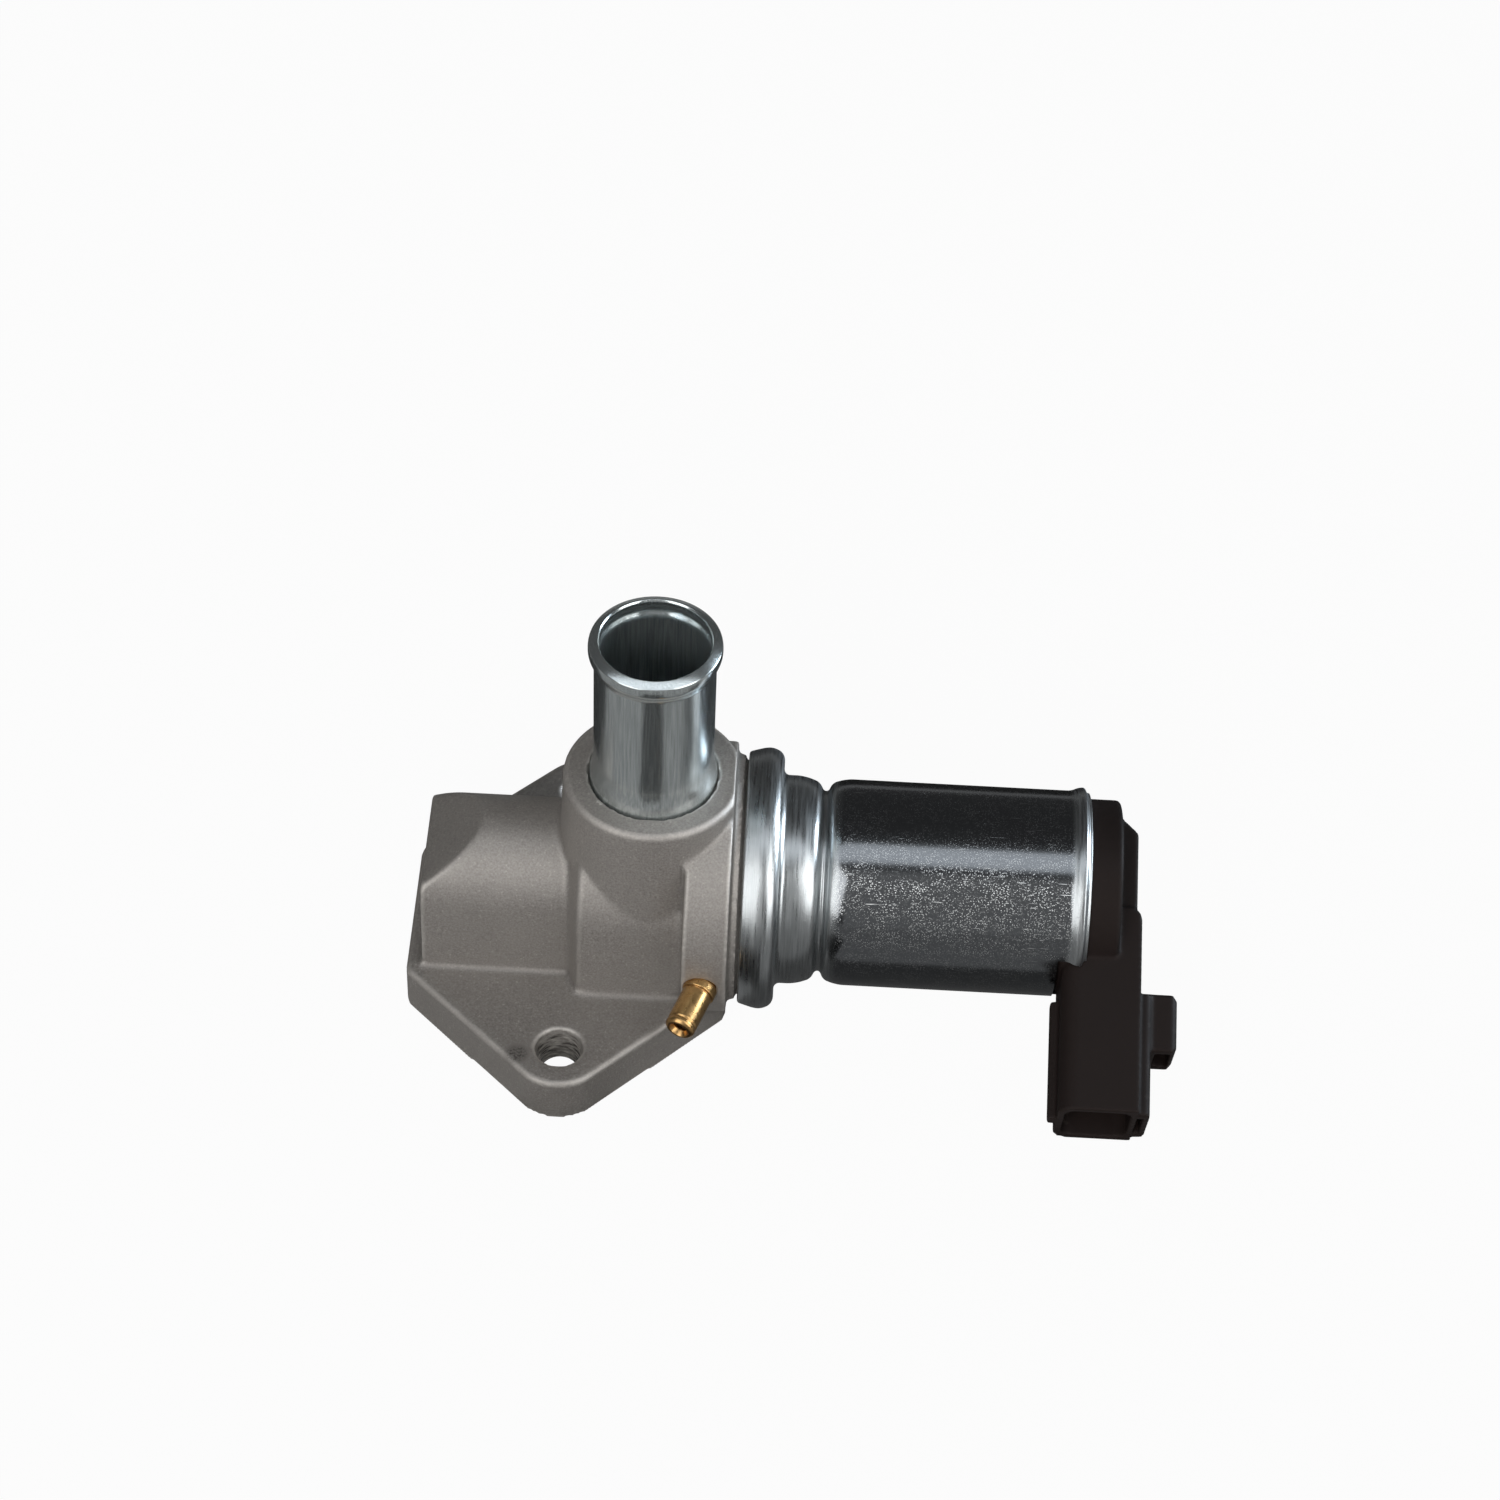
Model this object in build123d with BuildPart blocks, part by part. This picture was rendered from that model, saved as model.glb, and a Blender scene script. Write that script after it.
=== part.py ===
"""Idle air control valve: a cast body with a mounting flange and hose tube,
and a crimped-on solenoid whose plunger lifts a poppet off its seat.

Millimetres. The origin is the centre of the flange's mounting face, +Z is up
out of that face and +X runs along the solenoid towards the electrical connector.
"""
import os
from math import cos, pi, radians, sin, tan

from build123d import *

os.makedirs("parts", exist_ok=True)

# Fits shared by all pieces
press_gap = 0.02            # radial gap of a piece pressed or clamped in place
running_gap = 0.04          # radial gap of the rod in its bushes
plunger_gap = 0.08          # radial gap of the armature in its sleeve
stroke = 4.5                # travel of the plunger from closed to open
seat_gap = 0.25             # idle gap between the poppet seal and the seat lip
touch = 0.01                # distance at which an edge counts as lying in a plane
corner_cut = 0.293          # share of a rolled corner's radius that its middle lies in from the sharp corner

# Mounting flange: a hexagon with two flats across X and two bolt corners on Y
flange_thickness = 9.2
flange_half_width = 28.5
flange_flat_corner_y = 13.6
flange_flat_corner_r = 3.0
bolt_corner_r = 8.5
bolt_spacing = 61.4
bolt_hole_r = 3.8
bolt_hole_top_r = 4.2
bolt_hole_taper = 3.5
flange_edge_break = 0.6

# Cast body around the solenoid axis
axis_height = 22.0
wall_draft = 4.5
outlet_hump_r = 12.4
inlet_hump_r = 17.1
outlet_end_x = -25.8
outlet_end_rise = 5.4
outlet_end_slope = 34.3
step_start_x = 0.2
step_length = 2.0
casting_round = 1.2

# End of the body that carries the solenoid, worked back from its end face
body_face_x = 33.4
can_r = 18.3
rim_step = 3.3
rim_thickness = 1.9
crimp_groove_width = 1.5
crimp_groove_depth = 1.0
band_step = 0.2
band_width = 1.4
disc_step = 2.4
disc_thickness = 7.9
rim_r = can_r + rim_step
crimp_groove_r = rim_r - crimp_groove_depth
band_r = rim_r + band_step
disc_r = rim_r + disc_step
rim_left_x = body_face_x - rim_thickness
groove_left_x = rim_left_x - crimp_groove_width
disc_right_x = groove_left_x - band_width
disc_left_x = disc_right_x - disc_thickness

# Passages inside the body
seat_left_x = 1.5
seat_depth = 4.5
seat_pocket_r = 10.2
outlet_bore_r = 8.6
outlet_bore_left_x = -12.5
outlet_bore_point = 3.0
outlet_bore_tip_r = 3.0
inlet_bore_r = 13.2
port_x = -7.0
port_r = 8.0
chamber_left_x = seat_left_x + seat_depth

# Hose tube and the boss it is pressed into
tube_x = 14.24
tube_r = 10.4
tube_wall = 1.0
tube_rise = 32.0
tube_bead_r = 11.4
tube_bead_drop = 2.1
tube_bead_length = 4.2
tube_lip = 0.5
collar_r = 11.1
collar_height = 4.0
collar_seat_depth = 1.4
collar_gap = 0.25
boss_r = 15.7
boss_draft = 1.7
boss_rise = 2.0
boss_edge_break = 0.7
socket_depth = 9.0
inlet_passage_r = 8.0
boss_top_z = axis_height + disc_r + boss_rise
boss_foot_r = boss_r + (boss_top_z - axis_height) * tan(radians(boss_draft))
tube_top_z = boss_top_z + tube_rise

# Vacuum nipple, radial from the disc and leaning towards the outlet end
nipple_r = 2.7
nipple_length = 9.75
nipple_sink = 0.6
nipple_collar = 1.7
nipple_collar_r = 2.95
nipple_groove = 0.3
nipple_groove_depth = 0.2
nipple_chamfer = 0.5
nipple_bore_r = 1.3
nipple_shank_r = 2.4
nipple_shank = 6.0
nipple_below = 8.5
nipple_shift = 0.5
nipple_lean = 21.0
bleed_r = 1.2

# Body seal and front plate
seal_r = 16.6
seal_section = 1.7
seal_groove_width = 2.2
seal_groove_gap = 0.05
plate_thickness = 2.3
plate_hub_r = 4.9
plate_hub_length = 6.0
bush_r = 3.6
bush_length = 9.0
bush_overhang = 0.4

# Solenoid can
can_wall = 1.2
can_length = 54.2
crimp_ring_step = 0.9
crimp_ring_width = 1.75
crimp_ring_break = 0.4
flare_step = 1.6
flare_rise = 0.9
flare_round = 2.0
rim_gap = 0.15
lip_thickness = 0.75
lip_gap = 0.2
lip_hook = 0.6
neck_step = 0.2
neck_root = 1.1
groove_offset = 7.6
groove_floor = 1.0
groove_round = 2.2
groove_depth = 2.3
end_bead_step = 0.65
end_bead_width = 2.7
end_bead_slope = 0.9
notch_depth = 5.0
notch_gap = 0.4

# Magnet parts inside the can
sleeve_bore_r = 7.5
sleeve_wall = 0.65
sleeve_flange_r = 11.0
sleeve_flange = 0.8
bobbin_wall = 0.85
bobbin_flange = 1.5
bobbin_gap = 1.7
coil_gap = 0.5
magnet_length = 47.3
rear_plate_thickness = 2.5
rear_gasket_thickness = 0.7
rear_gasket_bore_r = 6.2
armature_start = 7.5
armature_length = 20.0
armature_chamfer = 0.5
shim_thickness = 0.4
shim_bore_r = 3.0
shut_height = 0.5
core_stud_r = 5.0
core_stud_extra = 0.4
rear_bush_r = 3.4
rear_bush_length = 8.0

# Plunger rod and poppet
rod_r = 2.0
journal_r = 1.5
poppet_r = 9.0
poppet_plate = 2.0
poppet_hub_r = 3.6
poppet_hub = 3.0
poppet_seal_r = 8.7
poppet_seal_thickness = 1.2
clip_thickness = 0.7
clip_r = 3.4
clip_groove_depth = 0.4
rod_tip = 1.3
rod_tail = 10.5
seat_bore_r = 7.0
seat_lip_width = 0.9
seat_lip_height = 0.8

# Return spring
spring_r = 6.2
spring_wire_r = 0.5
spring_turns = 6.5
spring_runs = 16            # straight runs that stand for each turn
spring_wire_sides = 6
spring_end_gap = 0.05

# End cap and electrical connector
cap_gap = 0.1
cap_projection = 5.6
cap_pad = 3.3
cap_pad_half = 8.0
cap_pad_top = 9.0
cap_edge_break = 0.5
connector_below = 22.0
connector_reach = 42.4
connector_half = 8.65
connector_overlap = 4.1
neck_width = 13.8
neck_start = 5.0
neck_corner_r = 2.2
housing_step = 2.1
housing_start = 20.1
housing_half = 6.5
housing_corner_r = 1.2
connector_corner_r = 3.0
socket_left_wall = 1.3
socket_right_wall = 1.0
socket_side_wall = 1.5
socket_corner_r = 2.6
connector_socket_depth = 17.0
key_slot_width = 1.1
key_slot_half = 4.5
key_slot_depth = 7.0
latch_reach = 4.55
latch_start = 19.7
latch_length = 10.5
latch_half = 5.3
latch_chamfer = 0.8
latch_window = 2.6
latch_window_depth = 2.6
latch_window_half = 3.6
fin_thickness = 1.5
fin_height = 2.7
fin_offset = 0.65
fin_start = 20.9
terminal_width = 2.4
terminal_thickness = 0.8
terminal_spacing = 8.0
terminal_root = 8.0
terminal_exposed = 11.0
terminal_tip = 0.2

# Planes and axes of the assembly
solenoid_axis = Axis((0, 0, axis_height), (1, 0, 0))
axial_plane = Plane(origin=(0, 0, axis_height), x_dir=(1, 0, 0), z_dir=(0, -1, 0))
tube_axis = Axis((tube_x, 0, 0), (0, 0, 1))
tube_plane = Plane(origin=(tube_x, 0, 0), x_dir=(1, 0, 0), z_dir=(0, -1, 0))
connector_plane = Plane(
    origin=(0, 0, axis_height),
    x_dir=(1, 0, 0),
    z_dir=(0, -cos(radians(connector_below)), -sin(radians(connector_below))),
)
nipple_radial = Vector(0, -cos(radians(nipple_below)), -sin(radians(nipple_below)))
nipple_way = nipple_radial * cos(radians(nipple_lean)) - Vector(1, 0, 0) * sin(radians(nipple_lean))
nipple_root = (
    Vector((disc_left_x + disc_right_x) / 2 - nipple_shift, 0, axis_height)
    + nipple_radial * disc_r
    - nipple_way * nipple_sink
)
nipple_plane = Plane(origin=nipple_root, z_dir=nipple_way)

# Stations along the solenoid, each from the one before it
plate_right_x = body_face_x + plate_thickness
shoulder_x = plate_right_x + can_wall
can_end_x = shoulder_x + can_length
can_bore_r = can_r - can_wall
crimp_ring_r = rim_r + crimp_ring_step
flare_r = rim_r + flare_step
flare_bore_r = rim_r + rim_gap
neck_r = can_r + neck_step
groove_bottom_r = can_r - groove_depth
end_bead_r = can_r + end_bead_step
cap_r = can_bore_r - cap_gap
lip_right_x = rim_left_x - lip_gap
lip_left_x = lip_right_x - lip_thickness
rear_plate_left_x = plate_right_x + magnet_length
rear_plate_right_x = rear_plate_left_x + rear_plate_thickness
cap_left_x = rear_plate_right_x + rear_gasket_thickness
cap_face_x = can_end_x + cap_projection
poppet_left_x = chamber_left_x + seat_gap
poppet_plate_x = poppet_left_x + poppet_seal_thickness
poppet_back_x = poppet_plate_x + poppet_plate
poppet_hub_x = poppet_back_x + poppet_hub
clip_right_x = poppet_left_x - press_gap
clip_left_x = clip_right_x - clip_thickness
armature_left_x = plate_right_x + armature_start
armature_right_x = armature_left_x + armature_length
shim_left_x = armature_right_x + stroke + shut_height
core_left_x = shim_left_x + shim_thickness
rod_right_x = armature_right_x + rod_tail
sleeve_r = sleeve_bore_r + sleeve_wall
bobbin_bore_r = sleeve_r + press_gap


def axis_plane(x):
    """Plane across the solenoid axis at x, with its own x along Y and y along Z."""
    return Plane(origin=(x, 0, axis_height), x_dir=(0, 1, 0), z_dir=(1, 0, 0))


def turned(plane, points):
    """Closed outline on a plane through an axis, to be revolved."""
    with BuildSketch(plane) as outline:
        with BuildLine():
            Polyline(*points, close=True)
        make_face()
    return outline.sketch


def ring(x_left, x_right, r_outer, r_inner):
    """Corner points of a plain ring about the solenoid axis."""
    return [(x_left, r_inner), (x_right, r_inner), (x_right, r_outer), (x_left, r_outer)]


def lies_in(plane):
    """Selector for the edges whose ends all lie in a plane."""

    def chosen(edge):
        return all(abs(plane.to_local_coords(end.center()).Z) < touch for end in edge.vertices())

    return chosen


def above_flange(shape):
    """Selector for the edges and faces that stand clear of the flange's top face."""
    return shape.center().Z > flange_thickness + touch


def hump(x, radius):
    """Section of a cast block: a round top running into drafted side walls."""
    draft = radians(wall_draft)
    side = radius * cos(draft)
    side_z = radius * sin(draft)
    foot_z = flange_thickness / 2 - axis_height
    foot = side + (side_z - foot_z) * tan(draft)
    with BuildSketch(axis_plane(x)) as section:
        with BuildLine():
            Line((-foot, foot_z), (-side, side_z))
            ThreePointArc((-side, side_z), (0, radius), (side, side_z))
            Line((side, side_z), (foot, foot_z))
            Line((foot, foot_z), (-foot, foot_z))
        make_face()
    return section.sketch


def spring_point(run):
    """Point of the return spring's helix after a number of straight runs."""
    turn = run / spring_runs
    angle = 2 * pi * turn
    return (spring_left_x + spring_pitch * turn, spring_r * cos(angle), axis_height + spring_r * sin(angle))


def connector_block(x_left, x_right, low, high, start, end, soft_r=0.0, soft_side=0, mode=Mode.ADD):
    """Block in the connector's frame: limits in X, in height and along its reach.

    soft_r rounds two corners: those on the solenoid's side, or the other two when soft_side is -1.
    """
    with BuildSketch(connector_plane.offset(start)) as section:
        with Locations(((x_left + x_right) / 2, (low + high) / 2)):
            Rectangle(x_right - x_left, high - low)
        if soft_r > 0:
            fillet(section.vertices().group_by(Axis.X)[soft_side], radius=soft_r)
    extrude(section.sketch, amount=end - start, mode=mode)


# Cast body: flange, outlet block, step, inlet block, boss and disc in one casting
crest_z = axis_height + outlet_hump_r
outlet_end_height = axis_height + outlet_end_rise
slope_run = (crest_z - outlet_end_height) / tan(radians(outlet_end_slope))
slope_top_x = outlet_end_x + slope_run
slope_low_z = 2 * outlet_end_height - crest_z
step_end_x = step_start_x + step_length
flat_corner_x = flange_half_width - flange_flat_corner_r
with BuildPart() as valve_body:
    with BuildSketch():
        with GridLocations(0, bolt_spacing, 1, 2):
            Circle(bolt_corner_r)
        with GridLocations(2 * flat_corner_x, 2 * flange_flat_corner_y, 2, 2):
            Circle(flange_flat_corner_r)
        make_hull()
    extrude(amount=flange_thickness)
    chamfer(valve_body.faces().sort_by(Axis.Z)[-1].edges(), length=flange_edge_break)

    extrude(hump(outlet_end_x, outlet_hump_r), amount=step_start_x - outlet_end_x)
    with BuildSketch(Plane.XZ):
        with BuildLine():
            Polyline(
                (outlet_end_x - slope_run, slope_low_z),
                (slope_top_x, crest_z),
                (slope_top_x, boss_top_z),
                (outlet_end_x - slope_run, boss_top_z),
                close=True,
            )
        make_face()
    extrude(amount=flange_half_width, both=True, mode=Mode.SUBTRACT)
    flat_faces = valve_body.faces().filter_by(GeomType.PLANE).filter_by(above_flange)
    sloped_end = flat_faces.filter_by(lambda face: face.normal_at().X < 0 < face.normal_at().Z - touch)
    fillet(sloped_end.edges(), radius=casting_round)

    loft([hump(step_start_x, outlet_hump_r), hump(step_end_x, inlet_hump_r)], ruled=True)
    extrude(hump(step_end_x, inlet_hump_r), amount=disc_left_x - step_end_x)
    with Locations((tube_x, 0, axis_height)):
        Cone(boss_foot_r, boss_r, boss_top_z - axis_height, align=(Align.CENTER, Align.CENTER, Align.MIN))
    with BuildSketch(Plane.XY.offset(axis_height)):
        with Locations((disc_right_x + boss_r, 0)):
            Rectangle(2 * boss_r, 4 * boss_r)
    extrude(amount=boss_top_z - axis_height, mode=Mode.SUBTRACT)
    with BuildSketch(axial_plane):
        with BuildLine():
            Polyline(
                (disc_left_x, 0),
                (disc_left_x, disc_r),
                (disc_right_x, disc_r),
                (disc_right_x, band_r),
                (groove_left_x, band_r),
                (groove_left_x, crimp_groove_r),
                (rim_left_x, crimp_groove_r),
                (rim_left_x, rim_r),
                (body_face_x, rim_r),
                (body_face_x, 0),
                close=True,
            )
        make_face()
    revolve(axis=solenoid_axis)
    boss_rim = valve_body.faces().sort_by(Axis.Z)[-1].edges().filter_by(GeomType.CIRCLE)
    chamfer(boss_rim, length=boss_edge_break)

    # Soft corners of the step between the two blocks
    for step_x in (step_end_x, step_start_x):
        step_edges = valve_body.edges().filter_by(lies_in(Plane.YZ.offset(step_x)))
        fillet(step_edges.filter_by(above_flange), radius=casting_round)

    # Everything below the mounting face is machined off flat
    with BuildSketch():
        Rectangle(4 * flange_half_width, 2 * bolt_spacing)
    extrude(amount=-disc_r, mode=Mode.SUBTRACT)

    # Bolt holes open out at the top, where the cores that cast them were tapered
    with GridLocations(0, bolt_spacing, 1, 2):
        Cylinder(
            bolt_hole_r,
            flange_thickness,
            align=(Align.CENTER, Align.CENTER, Align.MIN),
            mode=Mode.SUBTRACT,
        )
    with Locations((0, 0, flange_thickness - bolt_hole_taper)):
        with GridLocations(0, bolt_spacing, 1, 2):
            Cone(
                bolt_hole_r,
                bolt_hole_top_r,
                bolt_hole_taper,
                align=(Align.CENTER, Align.CENTER, Align.MIN),
                mode=Mode.SUBTRACT,
            )

    # Valve bore: outlet chamber, seat pocket and inlet chamber, stepped wider to the right
    revolve(
        turned(
            axial_plane,
            [
                (outlet_bore_left_x - outlet_bore_point, 0),
                (outlet_bore_left_x - outlet_bore_point, outlet_bore_tip_r),
                (outlet_bore_left_x, outlet_bore_r),
                (seat_left_x, outlet_bore_r),
                (seat_left_x, seat_pocket_r),
                (chamber_left_x, seat_pocket_r),
                (chamber_left_x, inlet_bore_r),
                (body_face_x, inlet_bore_r),
                (body_face_x, 0),
            ],
        ),
        axis=solenoid_axis,
        mode=Mode.SUBTRACT,
    )
    with BuildSketch():
        with Locations((port_x, 0)):
            Circle(port_r)
    extrude(amount=axis_height, mode=Mode.SUBTRACT)

    # Socket for the hose tube, with a wider seat for its collar
    revolve(
        turned(
            tube_plane,
            [
                (0, axis_height),
                (inlet_passage_r, axis_height),
                (inlet_passage_r, boss_top_z - socket_depth),
                (tube_r + press_gap, boss_top_z - socket_depth),
                (tube_r + press_gap, boss_top_z - collar_seat_depth),
                (collar_r + collar_gap, boss_top_z - collar_seat_depth),
                (collar_r + collar_gap, boss_top_z),
                (0, boss_top_z),
            ],
        ),
        axis=tube_axis,
        mode=Mode.SUBTRACT,
    )

    # Seal groove in the end face, spot-faced nipple hole and its bleed passage
    revolve(
        turned(
            axial_plane,
            ring(
                body_face_x - seal_section - seal_groove_gap,
                body_face_x,
                seal_r + seal_groove_width / 2,
                seal_r - seal_groove_width / 2,
            ),
        ),
        axis=solenoid_axis,
        mode=Mode.SUBTRACT,
    )
    with BuildSketch(nipple_plane):
        Circle(nipple_collar_r + press_gap)
    extrude(amount=nipple_length, mode=Mode.SUBTRACT)
    with BuildSketch(nipple_plane):
        Circle(nipple_shank_r + press_gap)
    extrude(amount=-nipple_shank, mode=Mode.SUBTRACT)
    with BuildSketch(nipple_plane.offset(-nipple_shank)):
        Circle(bleed_r)
    extrude(amount=-(disc_r - inlet_bore_r), mode=Mode.SUBTRACT)
valve_body.part.label = "valve_body"
export_step(valve_body.part, "parts/valve_body.step")

# Seat ring pressed into the body, with a raised lip that the poppet closes on
lip_outer_r = seat_bore_r + seat_lip_width
with BuildPart() as seat_ring:
    revolve(
        turned(
            axial_plane,
            [
                (seat_left_x, seat_bore_r),
                (chamber_left_x, seat_bore_r),
                (chamber_left_x, lip_outer_r),
                (chamber_left_x - seat_lip_height, lip_outer_r + seat_lip_height / 2),
                (chamber_left_x - seat_lip_height, seat_pocket_r - press_gap),
                (seat_left_x, seat_pocket_r - press_gap),
            ],
        ),
        axis=solenoid_axis,
    )
seat_ring.part.label = "seat_ring"
export_step(seat_ring.part, "parts/seat_ring.step")

# Hose tube: thin wall, flared collar at the boss and a rolled bead at the mouth
tube_bore_r = tube_r - tube_wall
tube_foot_z = boss_top_z - socket_depth
collar_z = boss_top_z - collar_seat_depth
bead_z = tube_top_z - tube_bead_drop
bead_foot_z = tube_top_z - tube_bead_length
bead_shoulder_r = (tube_r + 3 * tube_bead_r) / 4
with BuildPart() as hose_tube:
    revolve(
        turned(
            tube_plane,
            [
                (tube_bore_r, tube_foot_z),
                (tube_r, tube_foot_z),
                (tube_r, collar_z),
                (collar_r, collar_z),
                (collar_r, boss_top_z),
                ((collar_r + 2 * tube_r) / 3, boss_top_z + collar_height / 2),
                (tube_r, boss_top_z + collar_height),
                (tube_r, bead_foot_z),
                (bead_shoulder_r, (bead_z + bead_foot_z) / 2),
                (tube_bead_r, bead_z),
                (bead_shoulder_r, (bead_z + tube_top_z) / 2),
                (tube_r - tube_lip / 4, tube_top_z),
                (tube_bore_r + tube_lip, tube_top_z),
                (tube_bore_r, tube_top_z - tube_lip),
            ],
        ),
        axis=tube_axis,
    )
hose_tube.part.label = "hose_tube"
export_step(hose_tube.part, "parts/hose_tube.step")

# Brass nipple, turned about its own leaning axis
nipple_axis = Axis(nipple_root, nipple_way)
nipple_section = Plane(origin=nipple_root, x_dir=nipple_plane.x_dir, z_dir=-nipple_plane.y_dir)
groove_r = nipple_r - nipple_groove_depth
barrel_start = nipple_collar + nipple_groove
barrel_end = nipple_length - nipple_collar
with BuildPart() as vacuum_nipple:
    revolve(
        turned(
            nipple_section,
            [
                (nipple_bore_r, -nipple_shank),
                (nipple_shank_r, -nipple_shank),
                (nipple_shank_r, 0),
                (nipple_collar_r, 0),
                (nipple_collar_r, nipple_collar),
                (groove_r, nipple_collar),
                (groove_r, barrel_start),
                (nipple_r, barrel_start),
                (nipple_r, barrel_end),
                (groove_r, barrel_end + nipple_groove),
                (nipple_r, barrel_end + 2 * nipple_groove),
                (nipple_r, nipple_length - nipple_chamfer),
                (nipple_r - nipple_chamfer, nipple_length),
                (nipple_bore_r + nipple_chamfer, nipple_length),
                (nipple_bore_r, nipple_length - 2 * nipple_chamfer),
            ],
        ),
        axis=nipple_axis,
    )
vacuum_nipple.part.label = "vacuum_nipple"
export_step(vacuum_nipple.part, "parts/vacuum_nipple.step")

# Square-cut seal between the body's end face and the front plate
seal_right_x = body_face_x - seal_groove_gap / 2
with BuildPart() as body_seal:
    revolve(
        turned(
            axial_plane,
            ring(seal_right_x - seal_section, seal_right_x, seal_r + seal_section / 2, seal_r - seal_section / 2),
        ),
        axis=solenoid_axis,
    )
body_seal.part.label = "body_seal"
export_step(body_seal.part, "parts/body_seal.step")

# Front plate: steel disc clamped by the crimp, its hub carrying the front bush
hub_left_x = body_face_x - plate_hub_length
with BuildPart() as front_plate:
    revolve(
        turned(
            axial_plane,
            [
                (hub_left_x, bush_r + press_gap),
                (hub_left_x, plate_hub_r),
                (body_face_x, plate_hub_r),
                (body_face_x, rim_r),
                (plate_right_x, rim_r),
                (plate_right_x, bush_r + press_gap),
            ],
        ),
        axis=solenoid_axis,
    )
front_plate.part.label = "front_plate"
export_step(front_plate.part, "parts/front_plate.step")

# Bronze bushes that guide the rod, one in the front plate and one in the pole core
bush_left_x = hub_left_x - bush_overhang
with BuildPart() as front_bush:
    revolve(
        turned(axial_plane, ring(bush_left_x, bush_left_x + bush_length, bush_r, rod_r + running_gap)),
        axis=solenoid_axis,
    )
front_bush.part.label = "front_bush"
export_step(front_bush.part, "parts/front_bush.step")

with BuildPart() as rear_bush:
    revolve(
        turned(
            axial_plane,
            ring(core_left_x, core_left_x + rear_bush_length, rear_bush_r, rod_r + running_gap),
        ),
        axis=solenoid_axis,
    )
rear_bush.part.label = "rear_bush"
export_step(rear_bush.part, "parts/rear_bush.step")

# Solenoid can: one drawn steel shell with a crimped flare, rolled groove and end bead
flare_left_x = lip_left_x + crimp_ring_width
groove_left_end_x = shoulder_x + groove_offset - groove_floor / 2
groove_right_end_x = groove_left_end_x + groove_floor
bead_left_x = can_end_x - end_bead_width
with BuildPart() as solenoid_can:
    revolve(
        turned(
            axial_plane,
            [
                (lip_left_x, rim_r - lip_hook),
                (lip_left_x, crimp_ring_r - crimp_ring_break),
                (lip_left_x + crimp_ring_break, crimp_ring_r),
                (flare_left_x, crimp_ring_r),
                (flare_left_x + flare_rise, flare_r),
                (shoulder_x - flare_round, flare_r),
                (shoulder_x - corner_cut * flare_round, flare_r - corner_cut * flare_round),
                (shoulder_x, flare_r - flare_round),
                (shoulder_x, neck_r + neck_root),
                (shoulder_x + neck_root, neck_r),
                (groove_left_end_x - groove_round, neck_r),
                (groove_left_end_x - corner_cut * groove_round, can_r - corner_cut * groove_round),
                (groove_left_end_x, can_r - groove_round),
                (groove_left_end_x, groove_bottom_r),
                (groove_right_end_x, groove_bottom_r),
                (groove_right_end_x, can_r - groove_round),
                (groove_right_end_x + corner_cut * groove_round, can_r - corner_cut * groove_round),
                (groove_right_end_x + groove_round, can_r),
                (bead_left_x, can_r),
                (bead_left_x + end_bead_slope, end_bead_r),
                (can_end_x - end_bead_slope, end_bead_r),
                (can_end_x, can_r),
                (can_end_x, can_bore_r),
                (groove_right_end_x + groove_round + can_wall / 2, can_bore_r),
                (groove_right_end_x + can_wall / 2, groove_bottom_r - can_wall),
                (groove_left_end_x - can_wall / 2, groove_bottom_r - can_wall),
                (groove_left_end_x - groove_round - can_wall / 2, can_bore_r),
                (plate_right_x, can_bore_r),
                (plate_right_x, flare_bore_r),
                (lip_right_x, flare_bore_r),
                (lip_right_x, rim_r - lip_hook),
            ],
        ),
        axis=solenoid_axis,
    )
    notch_half = connector_half + notch_gap
    notch_left_x = can_end_x - notch_depth
    notch_right_x = can_end_x + notch_depth
    connector_block(notch_left_x, notch_right_x, -notch_half, notch_half, 0, flare_r, mode=Mode.SUBTRACT)
solenoid_can.part.label = "solenoid_can"
export_step(solenoid_can.part, "parts/solenoid_can.step")

# Guide sleeve that the armature slides in, held by its flange behind the front plate
with BuildPart() as guide_sleeve:
    revolve(
        turned(
            axial_plane,
            [
                (plate_right_x, sleeve_bore_r),
                (plate_right_x, sleeve_flange_r),
                (plate_right_x + sleeve_flange, sleeve_flange_r),
                (plate_right_x + sleeve_flange, sleeve_r),
                (rear_plate_left_x, sleeve_r),
                (rear_plate_left_x, sleeve_bore_r),
            ],
        ),
        axis=solenoid_axis,
    )
guide_sleeve.part.label = "guide_sleeve"
export_step(guide_sleeve.part, "parts/guide_sleeve.step")

# Bobbin and its copper winding
bobbin_left_x = plate_right_x + sleeve_flange
winding_left_x = bobbin_left_x + bobbin_flange
winding_right_x = rear_plate_left_x - bobbin_flange
winding_bore_r = bobbin_bore_r + bobbin_wall
bobbin_flange_r = can_bore_r - bobbin_gap
coil_r = groove_bottom_r - can_wall - coil_gap
with BuildPart() as bobbin:
    revolve(
        turned(
            axial_plane,
            [
                (bobbin_left_x, bobbin_bore_r),
                (bobbin_left_x, bobbin_flange_r),
                (winding_left_x, bobbin_flange_r),
                (winding_left_x, winding_bore_r),
                (winding_right_x, winding_bore_r),
                (winding_right_x, bobbin_flange_r),
                (rear_plate_left_x, bobbin_flange_r),
                (rear_plate_left_x, bobbin_bore_r),
            ],
        ),
        axis=solenoid_axis,
    )
bobbin.part.label = "bobbin"
export_step(bobbin.part, "parts/bobbin.step")

with BuildPart() as coil:
    revolve(
        turned(
            axial_plane,
            ring(
                winding_left_x + press_gap,
                winding_right_x - press_gap,
                coil_r,
                winding_bore_r + press_gap,
            ),
        ),
        axis=solenoid_axis,
    )
coil.part.label = "coil"
export_step(coil.part, "parts/coil.step")

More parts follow.
